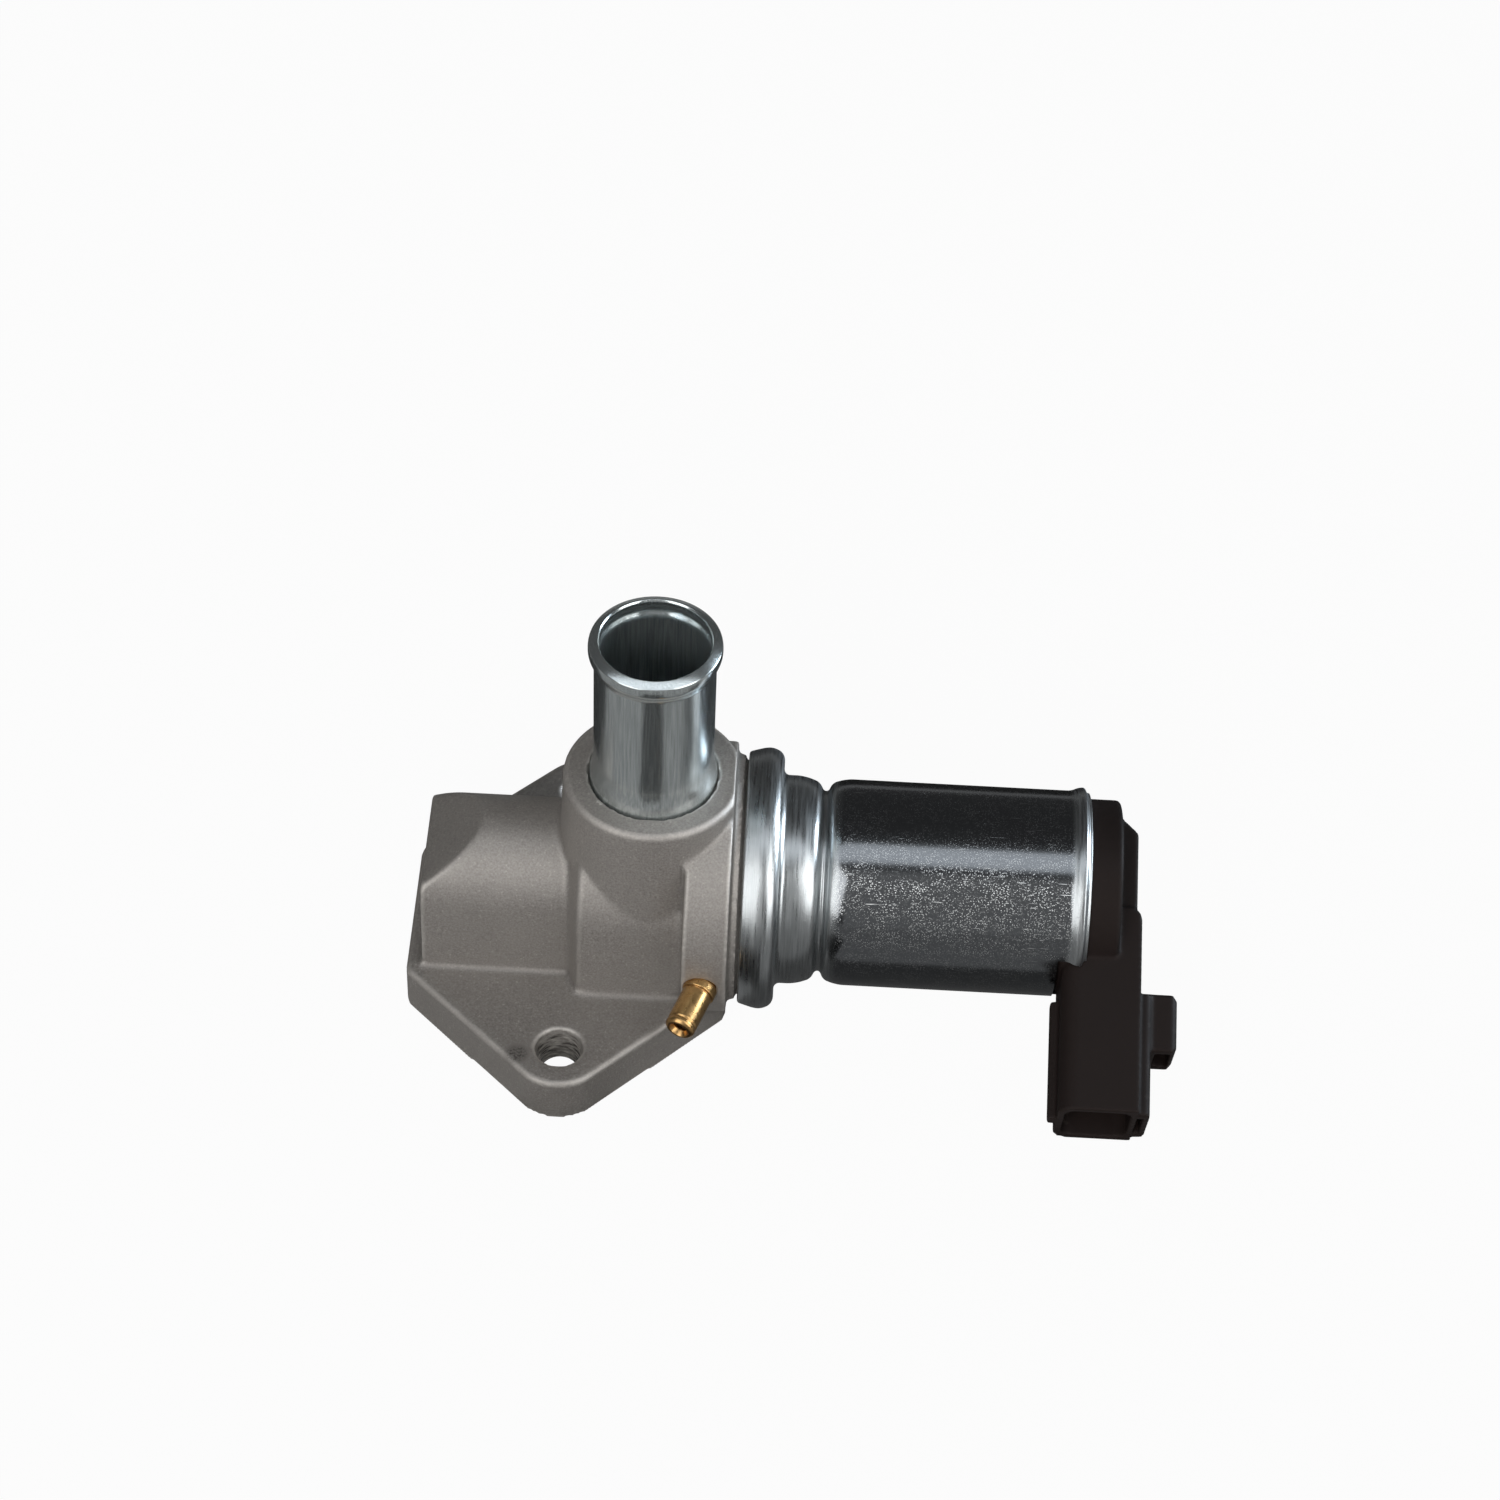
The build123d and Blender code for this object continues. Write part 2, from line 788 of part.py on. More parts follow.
# Pole core with its riveting stud, and the brass shim on its face
core_r = sleeve_bore_r - press_gap
stud_right_x = rear_plate_right_x + core_stud_extra
tail_hole_x = rod_right_x + stroke + shut_height
with BuildPart() as pole_core:
    revolve(
        turned(
            axial_plane,
            [
                (core_left_x, rear_bush_r + press_gap),
                (core_left_x, core_r),
                (rear_plate_left_x, core_r),
                (rear_plate_left_x, core_stud_r),
                (stud_right_x, core_stud_r),
                (stud_right_x, 0),
                (tail_hole_x, 0),
                (tail_hole_x, rear_bush_r + press_gap),
            ],
        ),
        axis=solenoid_axis,
    )
pole_core.part.label = "pole_core"
export_step(pole_core.part, "parts/pole_core.step")

with BuildPart() as shim_washer:
    revolve(
        turned(axial_plane, ring(shim_left_x, core_left_x, core_r, shim_bore_r)),
        axis=solenoid_axis,
    )
shim_washer.part.label = "shim_washer"
export_step(shim_washer.part, "parts/shim_washer.step")

# Rear plate that closes the magnet, and the rubber washer behind it
with BuildPart() as rear_plate:
    revolve(
        turned(
            axial_plane,
            ring(
                rear_plate_left_x,
                rear_plate_right_x,
                can_bore_r - press_gap,
                core_stud_r + press_gap,
            ),
        ),
        axis=solenoid_axis,
    )
rear_plate.part.label = "rear_plate"
export_step(rear_plate.part, "parts/rear_plate.step")

with BuildPart() as rear_gasket:
    revolve(
        turned(
            axial_plane,
            ring(rear_plate_right_x, cap_left_x, cap_r, rear_gasket_bore_r),
        ),
        axis=solenoid_axis,
    )
rear_gasket.part.label = "rear_gasket"
export_step(rear_gasket.part, "parts/rear_gasket.step")

# Armature, rod, poppet, seal and clip: the plunger
with BuildPart() as armature:
    revolve(
        turned(
            axial_plane,
            ring(armature_left_x, armature_right_x, sleeve_bore_r - plunger_gap, rod_r + press_gap),
        ),
        axis=solenoid_axis,
    )
    chamfer(armature.edges().filter_by(GeomType.CIRCLE).group_by(SortBy.RADIUS)[-1], length=armature_chamfer)
armature.part.label = "armature"
export_step(armature.part, "parts/armature.step")

rod_left_x = clip_left_x - rod_tip
clip_bore_r = journal_r - clip_groove_depth
with BuildPart() as valve_rod:
    revolve(
        turned(
            axial_plane,
            [
                (rod_left_x, 0),
                (rod_left_x, journal_r),
                (clip_left_x - press_gap, journal_r),
                (clip_left_x - press_gap, clip_bore_r - press_gap),
                (clip_right_x + press_gap, clip_bore_r - press_gap),
                (clip_right_x + press_gap, journal_r),
                (poppet_hub_x, journal_r),
                (poppet_hub_x, rod_r),
                (rod_right_x, rod_r),
                (rod_right_x, 0),
            ],
        ),
        axis=solenoid_axis,
    )
valve_rod.part.label = "valve_rod"
export_step(valve_rod.part, "parts/valve_rod.step")

with BuildPart() as poppet:
    revolve(
        turned(
            axial_plane,
            [
                (poppet_plate_x, journal_r + press_gap),
                (poppet_plate_x, poppet_r),
                (poppet_back_x, poppet_r),
                (poppet_back_x, poppet_hub_r),
                (poppet_hub_x, poppet_hub_r),
                (poppet_hub_x, journal_r + press_gap),
            ],
        ),
        axis=solenoid_axis,
    )
poppet.part.label = "poppet"
export_step(poppet.part, "parts/poppet.step")

with BuildPart() as poppet_seal:
    revolve(
        turned(
            axial_plane,
            ring(poppet_left_x, poppet_plate_x, poppet_seal_r, journal_r + press_gap),
        ),
        axis=solenoid_axis,
    )
poppet_seal.part.label = "poppet_seal"
export_step(poppet_seal.part, "parts/poppet_seal.step")

with BuildPart() as poppet_clip:
    with BuildSketch(axis_plane(clip_left_x)):
        Circle(clip_r)
        Circle(clip_bore_r, mode=Mode.SUBTRACT)
        with Locations((0, -clip_r / 2)):
            Rectangle(2 * clip_bore_r, clip_r, mode=Mode.SUBTRACT)
    extrude(amount=clip_thickness)
poppet_clip.part.label = "poppet_clip"
export_step(poppet_clip.part, "parts/poppet_clip.step")

# Return spring between the poppet's back and the front plate
spring_left_x = poppet_back_x + spring_end_gap + spring_wire_r
spring_right_x = body_face_x - spring_end_gap - spring_wire_r
spring_pitch = (spring_right_x - spring_left_x) / spring_turns
with BuildPart() as return_spring:
    with BuildLine() as spring_path:
        Polyline(*(spring_point(run) for run in range(round(spring_turns * spring_runs) + 1)))
    with BuildSketch(Plane(origin=spring_path.line @ 0, z_dir=spring_path.line % 0)):
        RegularPolygon(spring_wire_r, spring_wire_sides)
    sweep(path=spring_path.wire(), transition=Transition.RIGHT)
return_spring.part.label = "return_spring"
export_step(return_spring.part, "parts/return_spring.step")

# End cap: moulded plug, back pad and connector shroud in one piece
pad_right_x = cap_face_x + cap_pad
pad_end = cap_r / 2
connector_left_x = can_end_x - connector_overlap
neck_right_x = connector_left_x + neck_width
housing_right_x = neck_right_x + housing_step
socket_left_x = connector_left_x + socket_left_wall
socket_right_x = neck_right_x - socket_right_wall
socket_half = connector_half - socket_side_wall
socket_floor = connector_reach - connector_socket_depth
key_left_x = (socket_right_x + housing_right_x - key_slot_width) / 2
latch_right_x = housing_right_x + latch_reach
latch_end = latch_start + latch_length
window_left_x = (housing_right_x + latch_right_x - latch_window) / 2
fin_left_x = connector_left_x - fin_thickness
terminal_x = (socket_left_x + socket_right_x) / 2
terminal_end = socket_floor + terminal_exposed
with BuildPart() as end_cap:
    with BuildSketch(axis_plane(cap_left_x)):
        Circle(cap_r)
    extrude(amount=cap_face_x - cap_left_x)
    chamfer(end_cap.edges().sort_by(Axis.X)[-1], length=cap_edge_break)

    # Neck and shroud, with a rounded corner behind the cap
    connector_block(
        connector_left_x,
        neck_right_x,
        -connector_half,
        connector_half,
        neck_start,
        connector_reach,
        soft_r=connector_corner_r,
    )
    neck_top = end_cap.edges().filter_by(lies_in(connector_plane.offset(neck_start)))
    fillet(neck_top.filter_by(lies_in(Plane.YZ.offset(neck_right_x))), radius=neck_corner_r)

    # Back pad whose upper end slopes down to the cap's face
    connector_block(cap_face_x, pad_right_x, -cap_pad_half, cap_pad_half, -cap_pad_top, pad_end)
    pad_top = connector_plane.offset(-cap_pad_top)
    with BuildSketch(Plane(origin=pad_top.origin, x_dir=(1, 0, 0), z_dir=connector_plane.y_dir)):
        with BuildLine():
            Polyline((cap_face_x, 0), (pad_right_x, 0), (cap_face_x, cap_pad), close=True)
        make_face()
    extrude(amount=cap_pad_half, both=True)

    # Thicker side of the shroud, which carries the latch block
    connector_block(
        neck_right_x,
        housing_right_x,
        -housing_half,
        housing_half,
        housing_start,
        connector_reach,
        soft_r=housing_corner_r,
        soft_side=-1,
    )
    connector_block(neck_right_x, latch_right_x, -latch_half, latch_half, latch_start, latch_end)
    latch_corners = end_cap.faces().sort_by(Axis.X)[-1].edges()
    chamfer(latch_corners, length=latch_chamfer)
    connector_block(
        window_left_x,
        window_left_x + latch_window,
        -latch_window_half,
        latch_window_half,
        latch_end - latch_window_depth,
        latch_end,
        mode=Mode.SUBTRACT,
    )
    connector_block(
        fin_left_x,
        connector_left_x,
        fin_offset - fin_height / 2,
        fin_offset + fin_height / 2,
        fin_start,
        connector_reach,
    )

    # Socket for the plug, key slot beside it and the slots that hold the terminals
    with BuildSketch(connector_plane.offset(socket_floor)):
        with Locations(((socket_left_x + socket_right_x) / 2, 0)):
            RectangleRounded(socket_right_x - socket_left_x, 2 * socket_half, socket_corner_r)
    extrude(amount=connector_socket_depth, mode=Mode.SUBTRACT)
    connector_block(
        key_left_x,
        key_left_x + key_slot_width,
        -key_slot_half,
        key_slot_half,
        connector_reach - key_slot_depth,
        connector_reach,
        mode=Mode.SUBTRACT,
    )
    with BuildSketch(connector_plane.offset(terminal_root)):
        with Locations((terminal_x, -terminal_spacing / 2), (terminal_x, terminal_spacing / 2)):
            Rectangle(terminal_width + 2 * press_gap, terminal_thickness + 2 * press_gap)
    extrude(amount=socket_floor - terminal_root, mode=Mode.SUBTRACT)
end_cap.part.label = "end_cap"
export_step(end_cap.part, "parts/end_cap.step")

# Two blade terminals standing in the socket
with BuildPart() as terminals:
    with BuildSketch(connector_plane.offset(terminal_root)):
        with Locations((terminal_x, -terminal_spacing / 2), (terminal_x, terminal_spacing / 2)):
            Rectangle(terminal_width, terminal_thickness)
    extrude(amount=terminal_end - terminal_root)
    chamfer(
        terminals.faces().filter_by(lambda face: face.normal_at().dot(connector_plane.z_dir) > 0.9).edges(),
        length=terminal_tip,
    )
terminals.part.label = "terminals"
export_step(terminals.part, "parts/terminals.step")
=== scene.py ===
# %% [markdown]
# # Idle air control valve
# The valve is a die-cast aluminium body with a hose tube and a small brass nipple, and a steel solenoid
# can that is crimped onto it. The CAD model is the fixed frame: every piece here stands where its solid
# stands, in metres, and only gets the soft edges and the finish that the solid lacks.

# %% Load the frame
from math import cos, pi, radians, sin

import bmesh
import bpy
from mathutils import Matrix, Vector


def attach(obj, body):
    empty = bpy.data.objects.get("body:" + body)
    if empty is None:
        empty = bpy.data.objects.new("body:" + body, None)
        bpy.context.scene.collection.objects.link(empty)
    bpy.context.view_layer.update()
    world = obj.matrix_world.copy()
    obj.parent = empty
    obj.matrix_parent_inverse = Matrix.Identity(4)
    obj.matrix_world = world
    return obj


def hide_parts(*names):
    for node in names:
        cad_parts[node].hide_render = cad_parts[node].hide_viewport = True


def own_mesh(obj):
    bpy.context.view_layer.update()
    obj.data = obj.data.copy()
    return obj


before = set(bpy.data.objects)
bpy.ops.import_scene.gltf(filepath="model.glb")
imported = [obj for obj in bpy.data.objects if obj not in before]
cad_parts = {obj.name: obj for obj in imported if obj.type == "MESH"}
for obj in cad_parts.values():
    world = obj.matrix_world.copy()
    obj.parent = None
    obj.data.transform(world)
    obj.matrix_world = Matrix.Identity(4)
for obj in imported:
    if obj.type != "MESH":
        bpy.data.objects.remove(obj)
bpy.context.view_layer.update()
mm = 0.001

# %% [markdown]
# ## Helpers
# A finish is a small tree of nodes, so one function adds a node, sets it and links it. Colours are read
# off swatches as sRGB hex values, and Blender's sockets want linear light, so one function turns them
# over. A Mix node has a set of sockets for each kind of value, so they are given by number: its share is
# input 0, colours go in at 6 and 7 and come out at 2, and plain values go in at 2 and 3 and come out at
# 0. The operators act on whatever is selected, so one more function leaves a single piece selected.

# %% Colour, node and selection helpers
def linear(hex_colour):
    """RGBA in linear light of a colour written as sRGB hex."""
    channels = [int(hex_colour[i : i + 2], 16) / 255 for i in (1, 3, 5)]
    return [c / 12.92 if c <= 0.04045 else ((c + 0.055) / 1.055) ** 2.4 for c in channels] + [1.0]


def add_node(tree, kind, inputs=None, **settings):
    """Adds a node: settings are its own options, inputs give each socket a value or an output to link."""
    node = tree.nodes.new(kind)
    for name, value in settings.items():
        setattr(node, name, value)
    for name, value in (inputs or {}).items():
        if isinstance(value, bpy.types.NodeSocket):
            tree.links.new(value, node.inputs[name])
        else:
            node.inputs[name].default_value = value
    return node


def only(piece):
    """Leaves one piece selected and active."""
    bpy.ops.object.select_all(action="DESELECT")
    piece.select_set(True)
    bpy.context.view_layer.objects.active = piece


def per_metre(size_mm):
    """Texture scale whose pattern repeats at about this size."""
    return 1 / (size_mm * mm)


print("white is", linear("#ffffff")[:3])

# %% [markdown]
# ## Camera
# The photograph looks down on the valve from the front, with a long lens and a slight roll. The angles
# were worked out from the flange's outline and the tube's mouth, so the render lines up with the
# photograph.

# %% Camera
look_azimuth, look_elevation, look_roll = radians(0.764), radians(46.18), radians(2.42)
look_target = Vector((30.78, 0, 54.57)) * mm
look_distance = 690.5 * mm
lens_mm, sensor_mm, nearest_seen = 96.39, 36, 0.05
back = Vector(
    (
        sin(look_azimuth) * cos(look_elevation),
        -cos(look_azimuth) * cos(look_elevation),
        sin(look_elevation),
    )
)
level = Vector((cos(look_azimuth), sin(look_azimuth), 0))
right = level * cos(look_roll) + back.cross(level) * sin(look_roll)
camera_data = bpy.data.cameras.new("camera")
camera_data.lens = lens_mm
camera_data.sensor_width = sensor_mm
camera_data.clip_start = nearest_seen
camera = bpy.data.objects.new("camera", camera_data)
camera.matrix_world = Matrix.Translation(look_target + back * look_distance) @ Matrix(
    (right, back.cross(right), back)
).transposed().to_4x4()
bpy.context.scene.collection.objects.link(camera)
bpy.context.scene.camera = camera
print("camera at", [round(v, 3) for v in camera.location])

# %% [markdown]
# ## Floor, dark cards and light
# Product photographs of bright metal are lit with a few soft boxes in a dark room: the boxes give the
# clean highlights and the dark room gives the black bands between them. The floor and the world are
# plain white here. A dark dome and a grey table card, which only reflections see, stand in for the room.
# Three darker cards lie on the table where the valve shades it: under the can, in front of the flange
# and behind.

# %% White floor and world
def light_path_white(tree, lit_shader):
    """Shader that is plain white to the camera and to reflections, and takes light as the lit one does."""
    path = add_node(tree, "ShaderNodeLightPath")
    seen = add_node(
        tree,
        "ShaderNodeMath",
        {0: path.outputs["Is Camera Ray"], 1: path.outputs["Is Glossy Ray"]},
        operation="MAXIMUM",
    )
    seen = add_node(
        tree,
        "ShaderNodeMath",
        {0: seen.outputs[0], 1: path.outputs["Is Transmission Ray"]},
        operation="MAXIMUM",
    )
    kind = "ShaderNodeBackground" if lit_shader.type == "BACKGROUND" else "ShaderNodeEmission"
    white = add_node(tree, kind, {"Color": linear("#ffffff"), "Strength": 1.0})
    return add_node(
        tree,
        "ShaderNodeMixShader",
        {0: seen.outputs[0], 1: lit_shader.outputs[0], 2: white.outputs[0]},
    )


world = bpy.data.worlds.new("white_room")
world.use_nodes = True
world.node_tree.nodes.clear()
ambient_strength = 0.06
ambient = add_node(
    world.node_tree,
    "ShaderNodeBackground",
    {"Color": linear("#ffffff"), "Strength": ambient_strength},
)
add_node(
    world.node_tree,
    "ShaderNodeOutputWorld",
    {"Surface": light_path_white(world.node_tree, ambient).outputs[0]},
)
bpy.context.scene.world = world
bpy.context.scene.view_settings.view_transform = "Standard"

floor_z = -2.5 * mm
shadow_share = 0.04  # how much of the floor's shadow shows on the white
bpy.ops.mesh.primitive_plane_add(size=8.0, location=(0, 0, floor_z))
floor = bpy.context.object
floor.name = "floor"
floor_paint = bpy.data.materials.new("floor_paint")
floor_paint.use_nodes = True
floor_paint.node_tree.nodes.clear()
matt_white = add_node(floor_paint.node_tree, "ShaderNodeBsdfDiffuse", {"Color": linear("#f4f4f4")})
white_floor = light_path_white(floor_paint.node_tree, matt_white)
floor_shade = add_node(
    floor_paint.node_tree,
    "ShaderNodeMixShader",
    {0: shadow_share, 1: white_floor.outputs[0], 2: matt_white.outputs[0]},
)
add_node(floor_paint.node_tree, "ShaderNodeOutputMaterial", {"Surface": floor_shade.outputs[0]})
floor.data.materials.append(floor_paint)
print("floor at", floor_z)

# %% Dark cards for the reflections
def dark_card(piece, name, glow):
    """Makes a stage piece that only reflections see, as dark as its glow."""
    piece.name = name
    paint = bpy.data.materials.new(name)
    paint.use_nodes = True
    paint.node_tree.nodes.clear()
    shine = add_node(paint.node_tree, "ShaderNodeEmission", {"Color": linear("#ffffff"), "Strength": glow})
    add_node(paint.node_tree, "ShaderNodeOutputMaterial", {"Surface": shine.outputs[0]})
    piece.data.materials.append(paint)
    for ray in ("camera", "diffuse", "transmission", "volume_scatter", "shadow"):
        setattr(piece, "visible_" + ray, False)


card_gap = 0.2 * mm  # each card lies this far above the one below it
bpy.ops.mesh.primitive_uv_sphere_add(segments=48, ring_count=24, radius=2.5)
dark_card(bpy.context.object, "room_dome", 0.065)
bpy.ops.mesh.primitive_circle_add(
    vertices=64,
    radius=2.2,
    fill_type="NGON",
    location=(0, 0, floor_z + card_gap),
)
dark_card(bpy.context.object, "table_card", 0.25)
shades = (  # name, middle and size in millimetres, glow
    ("can_shade", 66, -8, 75, 60, 0.08),
    ("flange_shade", 14, -66, 46, 66, 0.015),
    ("back_shade", 0, 145, 400, 270, 0.02),
)
for name, x, y, width, depth, glow in shades:
    bpy.ops.mesh.primitive_plane_add(size=1, location=(x * mm, y * mm, floor_z + 2 * card_gap))
    bpy.context.object.scale = (width * mm, depth * mm, 1)
    dark_card(bpy.context.object, name, glow)
print("shades on the table", len(shades))

# %% [markdown]
# ## Soft boxes
# An area light is a soft box. Bright plate mirrors what is around it and dull surfaces don't, so each
# gets lights of its own: boxes that only reflections see, and fills that only dull surfaces take up.

# %% Soft boxes
box_aim = Vector((35, 0, 25)) * mm


def soft_box(name, azimuth, elevation, distance, width, height, power, colour):
    """Area light that faces the valve from a direction, in degrees from the front and from the floor.

    Distance, width and height are in metres, and power is in watts.
    """
    data = bpy.data.lights.new(name, "AREA")
    data.shape = "RECTANGLE"
    data.size = width
    data.size_y = height
    data.energy = power
    data.color = linear(colour)[:3]
    box = bpy.data.objects.new(name, data)
    turn, lift = radians(azimuth), radians(elevation)
    away = Vector((sin(turn) * cos(lift), -cos(turn) * cos(lift), sin(lift)))
    box.location = box_aim + away * distance
    box.rotation_euler = away.to_track_quat("Z", "Y").to_euler()
    box.visible_camera = False
    bpy.context.scene.collection.objects.link(box)
    return box


for box in (
    soft_box("box_left", -38, 30, 1.3, 0.8, 1.2, 8.0, "#ffffff"),
    soft_box("box_right", 52, 30, 1.3, 0.8, 1.2, 11.0, "#ffffff"),
    soft_box("box_top", 0, 81, 1.2, 2.2, 0.46, 4.5, "#f4f9ff"),
    soft_box("box_side", 110, 14, 1.2, 0.5, 0.9, 22.0, "#e6f3ff"),
    soft_box("box_camera", 4, 30, 1.5, 0.9, 1.9, 1.4, "#ffffff"),
):
    box.visible_diffuse = False
for box in (
    soft_box("fill_front", -14, 32, 1.5, 0.8, 0.5, 8.6, "#ffffff"),
    soft_box("fill_right", 45, 45, 1.5, 0.6, 0.6, 0.6, "#ffffff"),
    soft_box("fill_back", 190, 14, 1.5, 0.8, 0.5, 4.0, "#ffffff"),
):
    box.visible_glossy = False

# %% [markdown]
# ## Cast aluminium
# The body is die-cast aluminium that was shot-blasted: a dull warm grey with a fine even grain. Handling
# has polished its edges, so they are lighter, and painted shade darkens the corners. Pointiness tells how
# sharply the skin bends, which gives both. Single grains of the flats get a painted glint, and painted
# shade darkens the body towards the flange. Blasted metal is dull and partly oxide, so the shader is less
# than half metallic and rough, and its faces differ by where they look. The pits of real shot are finer
# than a pixel, so the grain is drawn at 0.36 mm to show.

# %% Cast aluminium: grain, rubbed edges and painted glints
def new_finish(name):
    """Empty material with its node tree and the piece's own coordinates."""
    material = bpy.data.materials.new(name)
    material.use_nodes = True
    material.node_tree.nodes.clear()
    place = add_node(material.node_tree, "ShaderNodeTexCoord").outputs["Object"]
    return material, material.node_tree, place


cast_aluminium, tree, place = new_finish("cast_aluminium")
bend = add_node(tree, "ShaderNodeNewGeometry").outputs["Pointiness"]
grain = add_node(
    tree,
    "ShaderNodeTexNoise",
    {"Vector": place, "Scale": per_metre(0.36), "Detail": 2.0, "Roughness": 0.6},
).outputs[0]
grit = add_node(
    tree,
    "ShaderNodeMapRange",
    {"Value": grain, "From Min": 0.3, "From Max": 0.7},
).outputs[0]
# Painted glints: the brightest grains of the flats are painted pale, as if they caught the light
painted_glints = add_node(
    tree,
    "ShaderNodeMapRange",
    {"Value": grain, "From Min": 0.68, "From Max": 0.76, "To Max": 0.5},
).outputs[0]
clouds = add_node(
    tree,
    "ShaderNodeTexNoise",
    {"Vector": place, "Scale": per_metre(7.0), "Detail": 4.0, "Roughness": 0.6},
).outputs[0]
edge = add_node(
    tree,
    "ShaderNodeMapRange",
    {"Value": bend, "From Min": 0.515, "From Max": 0.555, "To Max": 1.4},
).outputs[0]
# The edges are rubbed bright in patches, and single grains of the flats get a painted glint
rubbed_edges_and_glints = add_node(tree, "ShaderNodeMath", {0: edge, 1: clouds}, operation="MULTIPLY").outputs[0]
rubbed_edges_and_glints = add_node(tree, "ShaderNodeMath", {0: rubbed_edges_and_glints, 1: painted_glints}, operation="MAXIMUM").outputs[0]
print("grain and rubbed edges:", len(tree.nodes), "nodes")

# %% Cast aluminium: painted shade in the corners, a stain by the bolt hole, and painted shade towards the flange
stain_place = Vector((-7.2, -32.7, 9.2)) * mm
# Painted shade: the concave corners, where the skin bends inwards, are painted darker
corners = add_node(
    tree,
    "ShaderNodeMapRange",
    {"Value": bend, "From Min": 0.49, "From Max": 0.45, "To Max": 0.5},
).outputs[0]
from_stain = add_node(
    tree,
    "ShaderNodeVectorMath",
    {0: place, 1: stain_place},
    operation="DISTANCE",
).outputs["Value"]
near_stain = add_node(
    tree,
    "ShaderNodeMapRange",
    {"Value": from_stain, "From Min": 2.5 * mm, "From Max": 1.1 * mm},
).outputs[0]
stain = add_node(tree, "ShaderNodeMath", {0: near_stain, 1: grit}, operation="MULTIPLY").outputs[0]
# One mask holds the real stain and the painted shade of the corners
stain_and_corner_shade = add_node(tree, "ShaderNodeMath", {0: corners, 1: stain}, operation="MAXIMUM").outputs[0]
height = add_node(tree, "ShaderNodeSeparateXYZ", {0: place}).outputs["Z"]
# Painted shade: the body is painted darker towards the flange, the lower the darker
painted_low_shade = add_node(
    tree,
    "ShaderNodeMapRange",
    {"Value": height, "From Min": 34.0 * mm, "From Max": 4.0 * mm, "To Max": 0.22},
).outputs[0]
print("with dirt:", len(tree.nodes), "nodes")

# %% Cast aluminium: rough rings in the drilled bolt holes
# The two holes lie at the same distance in front and behind, so one distance in plan serves both
bolt_hole_y = 30.7 * mm
both_holes = add_node(tree, "ShaderNodeVectorMath", {0: place}, operation="ABSOLUTE").outputs[0]
level_place = add_node(
    tree,
    "ShaderNodeVectorMath",
    {0: both_holes, 1: (1, 1, 0)},
    operation="MULTIPLY",
).outputs[0]
from_hole = add_node(
    tree,
    "ShaderNodeVectorMath",
    {0: level_place, 1: (0, bolt_hole_y, 0)},
    operation="DISTANCE",
).outputs["Value"]
in_hole = add_node(
    tree,
    "ShaderNodeMapRange",
    {"Value": from_hole, "From Min": 4.15 * mm, "From Max": 3.9 * mm},
).outputs[0]
drilled_place = add_node(
    tree,
    "ShaderNodeMapping",
    {"Vector": place, "Scale": (0.22, 0.22, 1.0)},
).outputs[0]
drill_rings = add_node(
    tree,
    "ShaderNodeTexNoise",
    {"Vector": drilled_place, "Scale": per_metre(0.6), "Detail": 3.0, "Roughness": 0.6},
).outputs[0]
ring_shade = add_node(
    tree,
    "ShaderNodeMapRange",
    {"Value": drill_rings, "From Min": 0.36, "From Max": 0.64},
).outputs[0]
ring_depth = add_node(tree, "ShaderNodeMath", {0: in_hole, 1: drill_rings}, operation="MULTIPLY").outputs[0]
print("with drilled rings:", len(tree.nodes), "nodes")

# %% Cast aluminium: colour, roughness and grain
skin = add_node(
    tree,
    "ShaderNodeMix",
    {0: clouds, 6: linear("#908b87"), 7: linear("#a29d98")},
    data_type="RGBA",
).outputs[2]
# The grain, the rubbed edges and the stain are real; the glints and the shade in the corners and towards
# the flange are painted
for mask, tint in ((grit, "#b3aea8"), (painted_low_shade, "#57534f"), (rubbed_edges_and_glints, "#e2ddd6"), (stain_and_corner_shade, "#45413d")):
    skin = add_node(
        tree,
        "ShaderNodeMix",
        {0: mask, 6: skin, 7: linear(tint)},
        data_type="RGBA",
    ).outputs[2]
bore = add_node(
    tree,
    "ShaderNodeMix",
    {0: ring_shade, 6: linear("#45413d"), 7: linear("#cbc6bf")},
    data_type="RGBA",
).outputs[2]
skin = add_node(tree, "ShaderNodeMix", {0: in_hole, 6: skin, 7: bore}, data_type="RGBA").outputs[2]
dull = add_node(
    tree,
    "ShaderNodeMapRange",
    {"Value": grain, "From Min": 0.3, "From Max": 0.7, "To Min": 0.46, "To Max": 0.62},
).outputs[0]
pits = add_node(
    tree,
    "ShaderNodeBump",
    {"Height": grain, "Strength": 0.4, "Distance": 0.08 * mm},
).outputs[0]
pits = add_node(
    tree,
    "ShaderNodeBump",
    {"Height": ring_depth, "Strength": 0.6, "Distance": 0.4 * mm, "Normal": pits},
).outputs[0]
metal = add_node(
    tree,
    "ShaderNodeBsdfPrincipled",
    {"Base Color": skin, "Metallic": 0.42, "Roughness": dull, "Normal": pits},
)
add_node(tree, "ShaderNodeOutputMaterial", {"Surface": metal.outputs[0]})
print("made", cast_aluminium.name)

# %% [markdown]
# ## Zinc plate
# The hose tube and the can are drawn steel with bright zinc plate: a bluish white metal that is smooth
# enough to show the soft boxes as bands. Drawing leaves fine lines along the tube, closer than a pixel,
# which are drawn 0.26 mm apart to show. The plate is rougher across them than along them, so the shader
# is anisotropic.

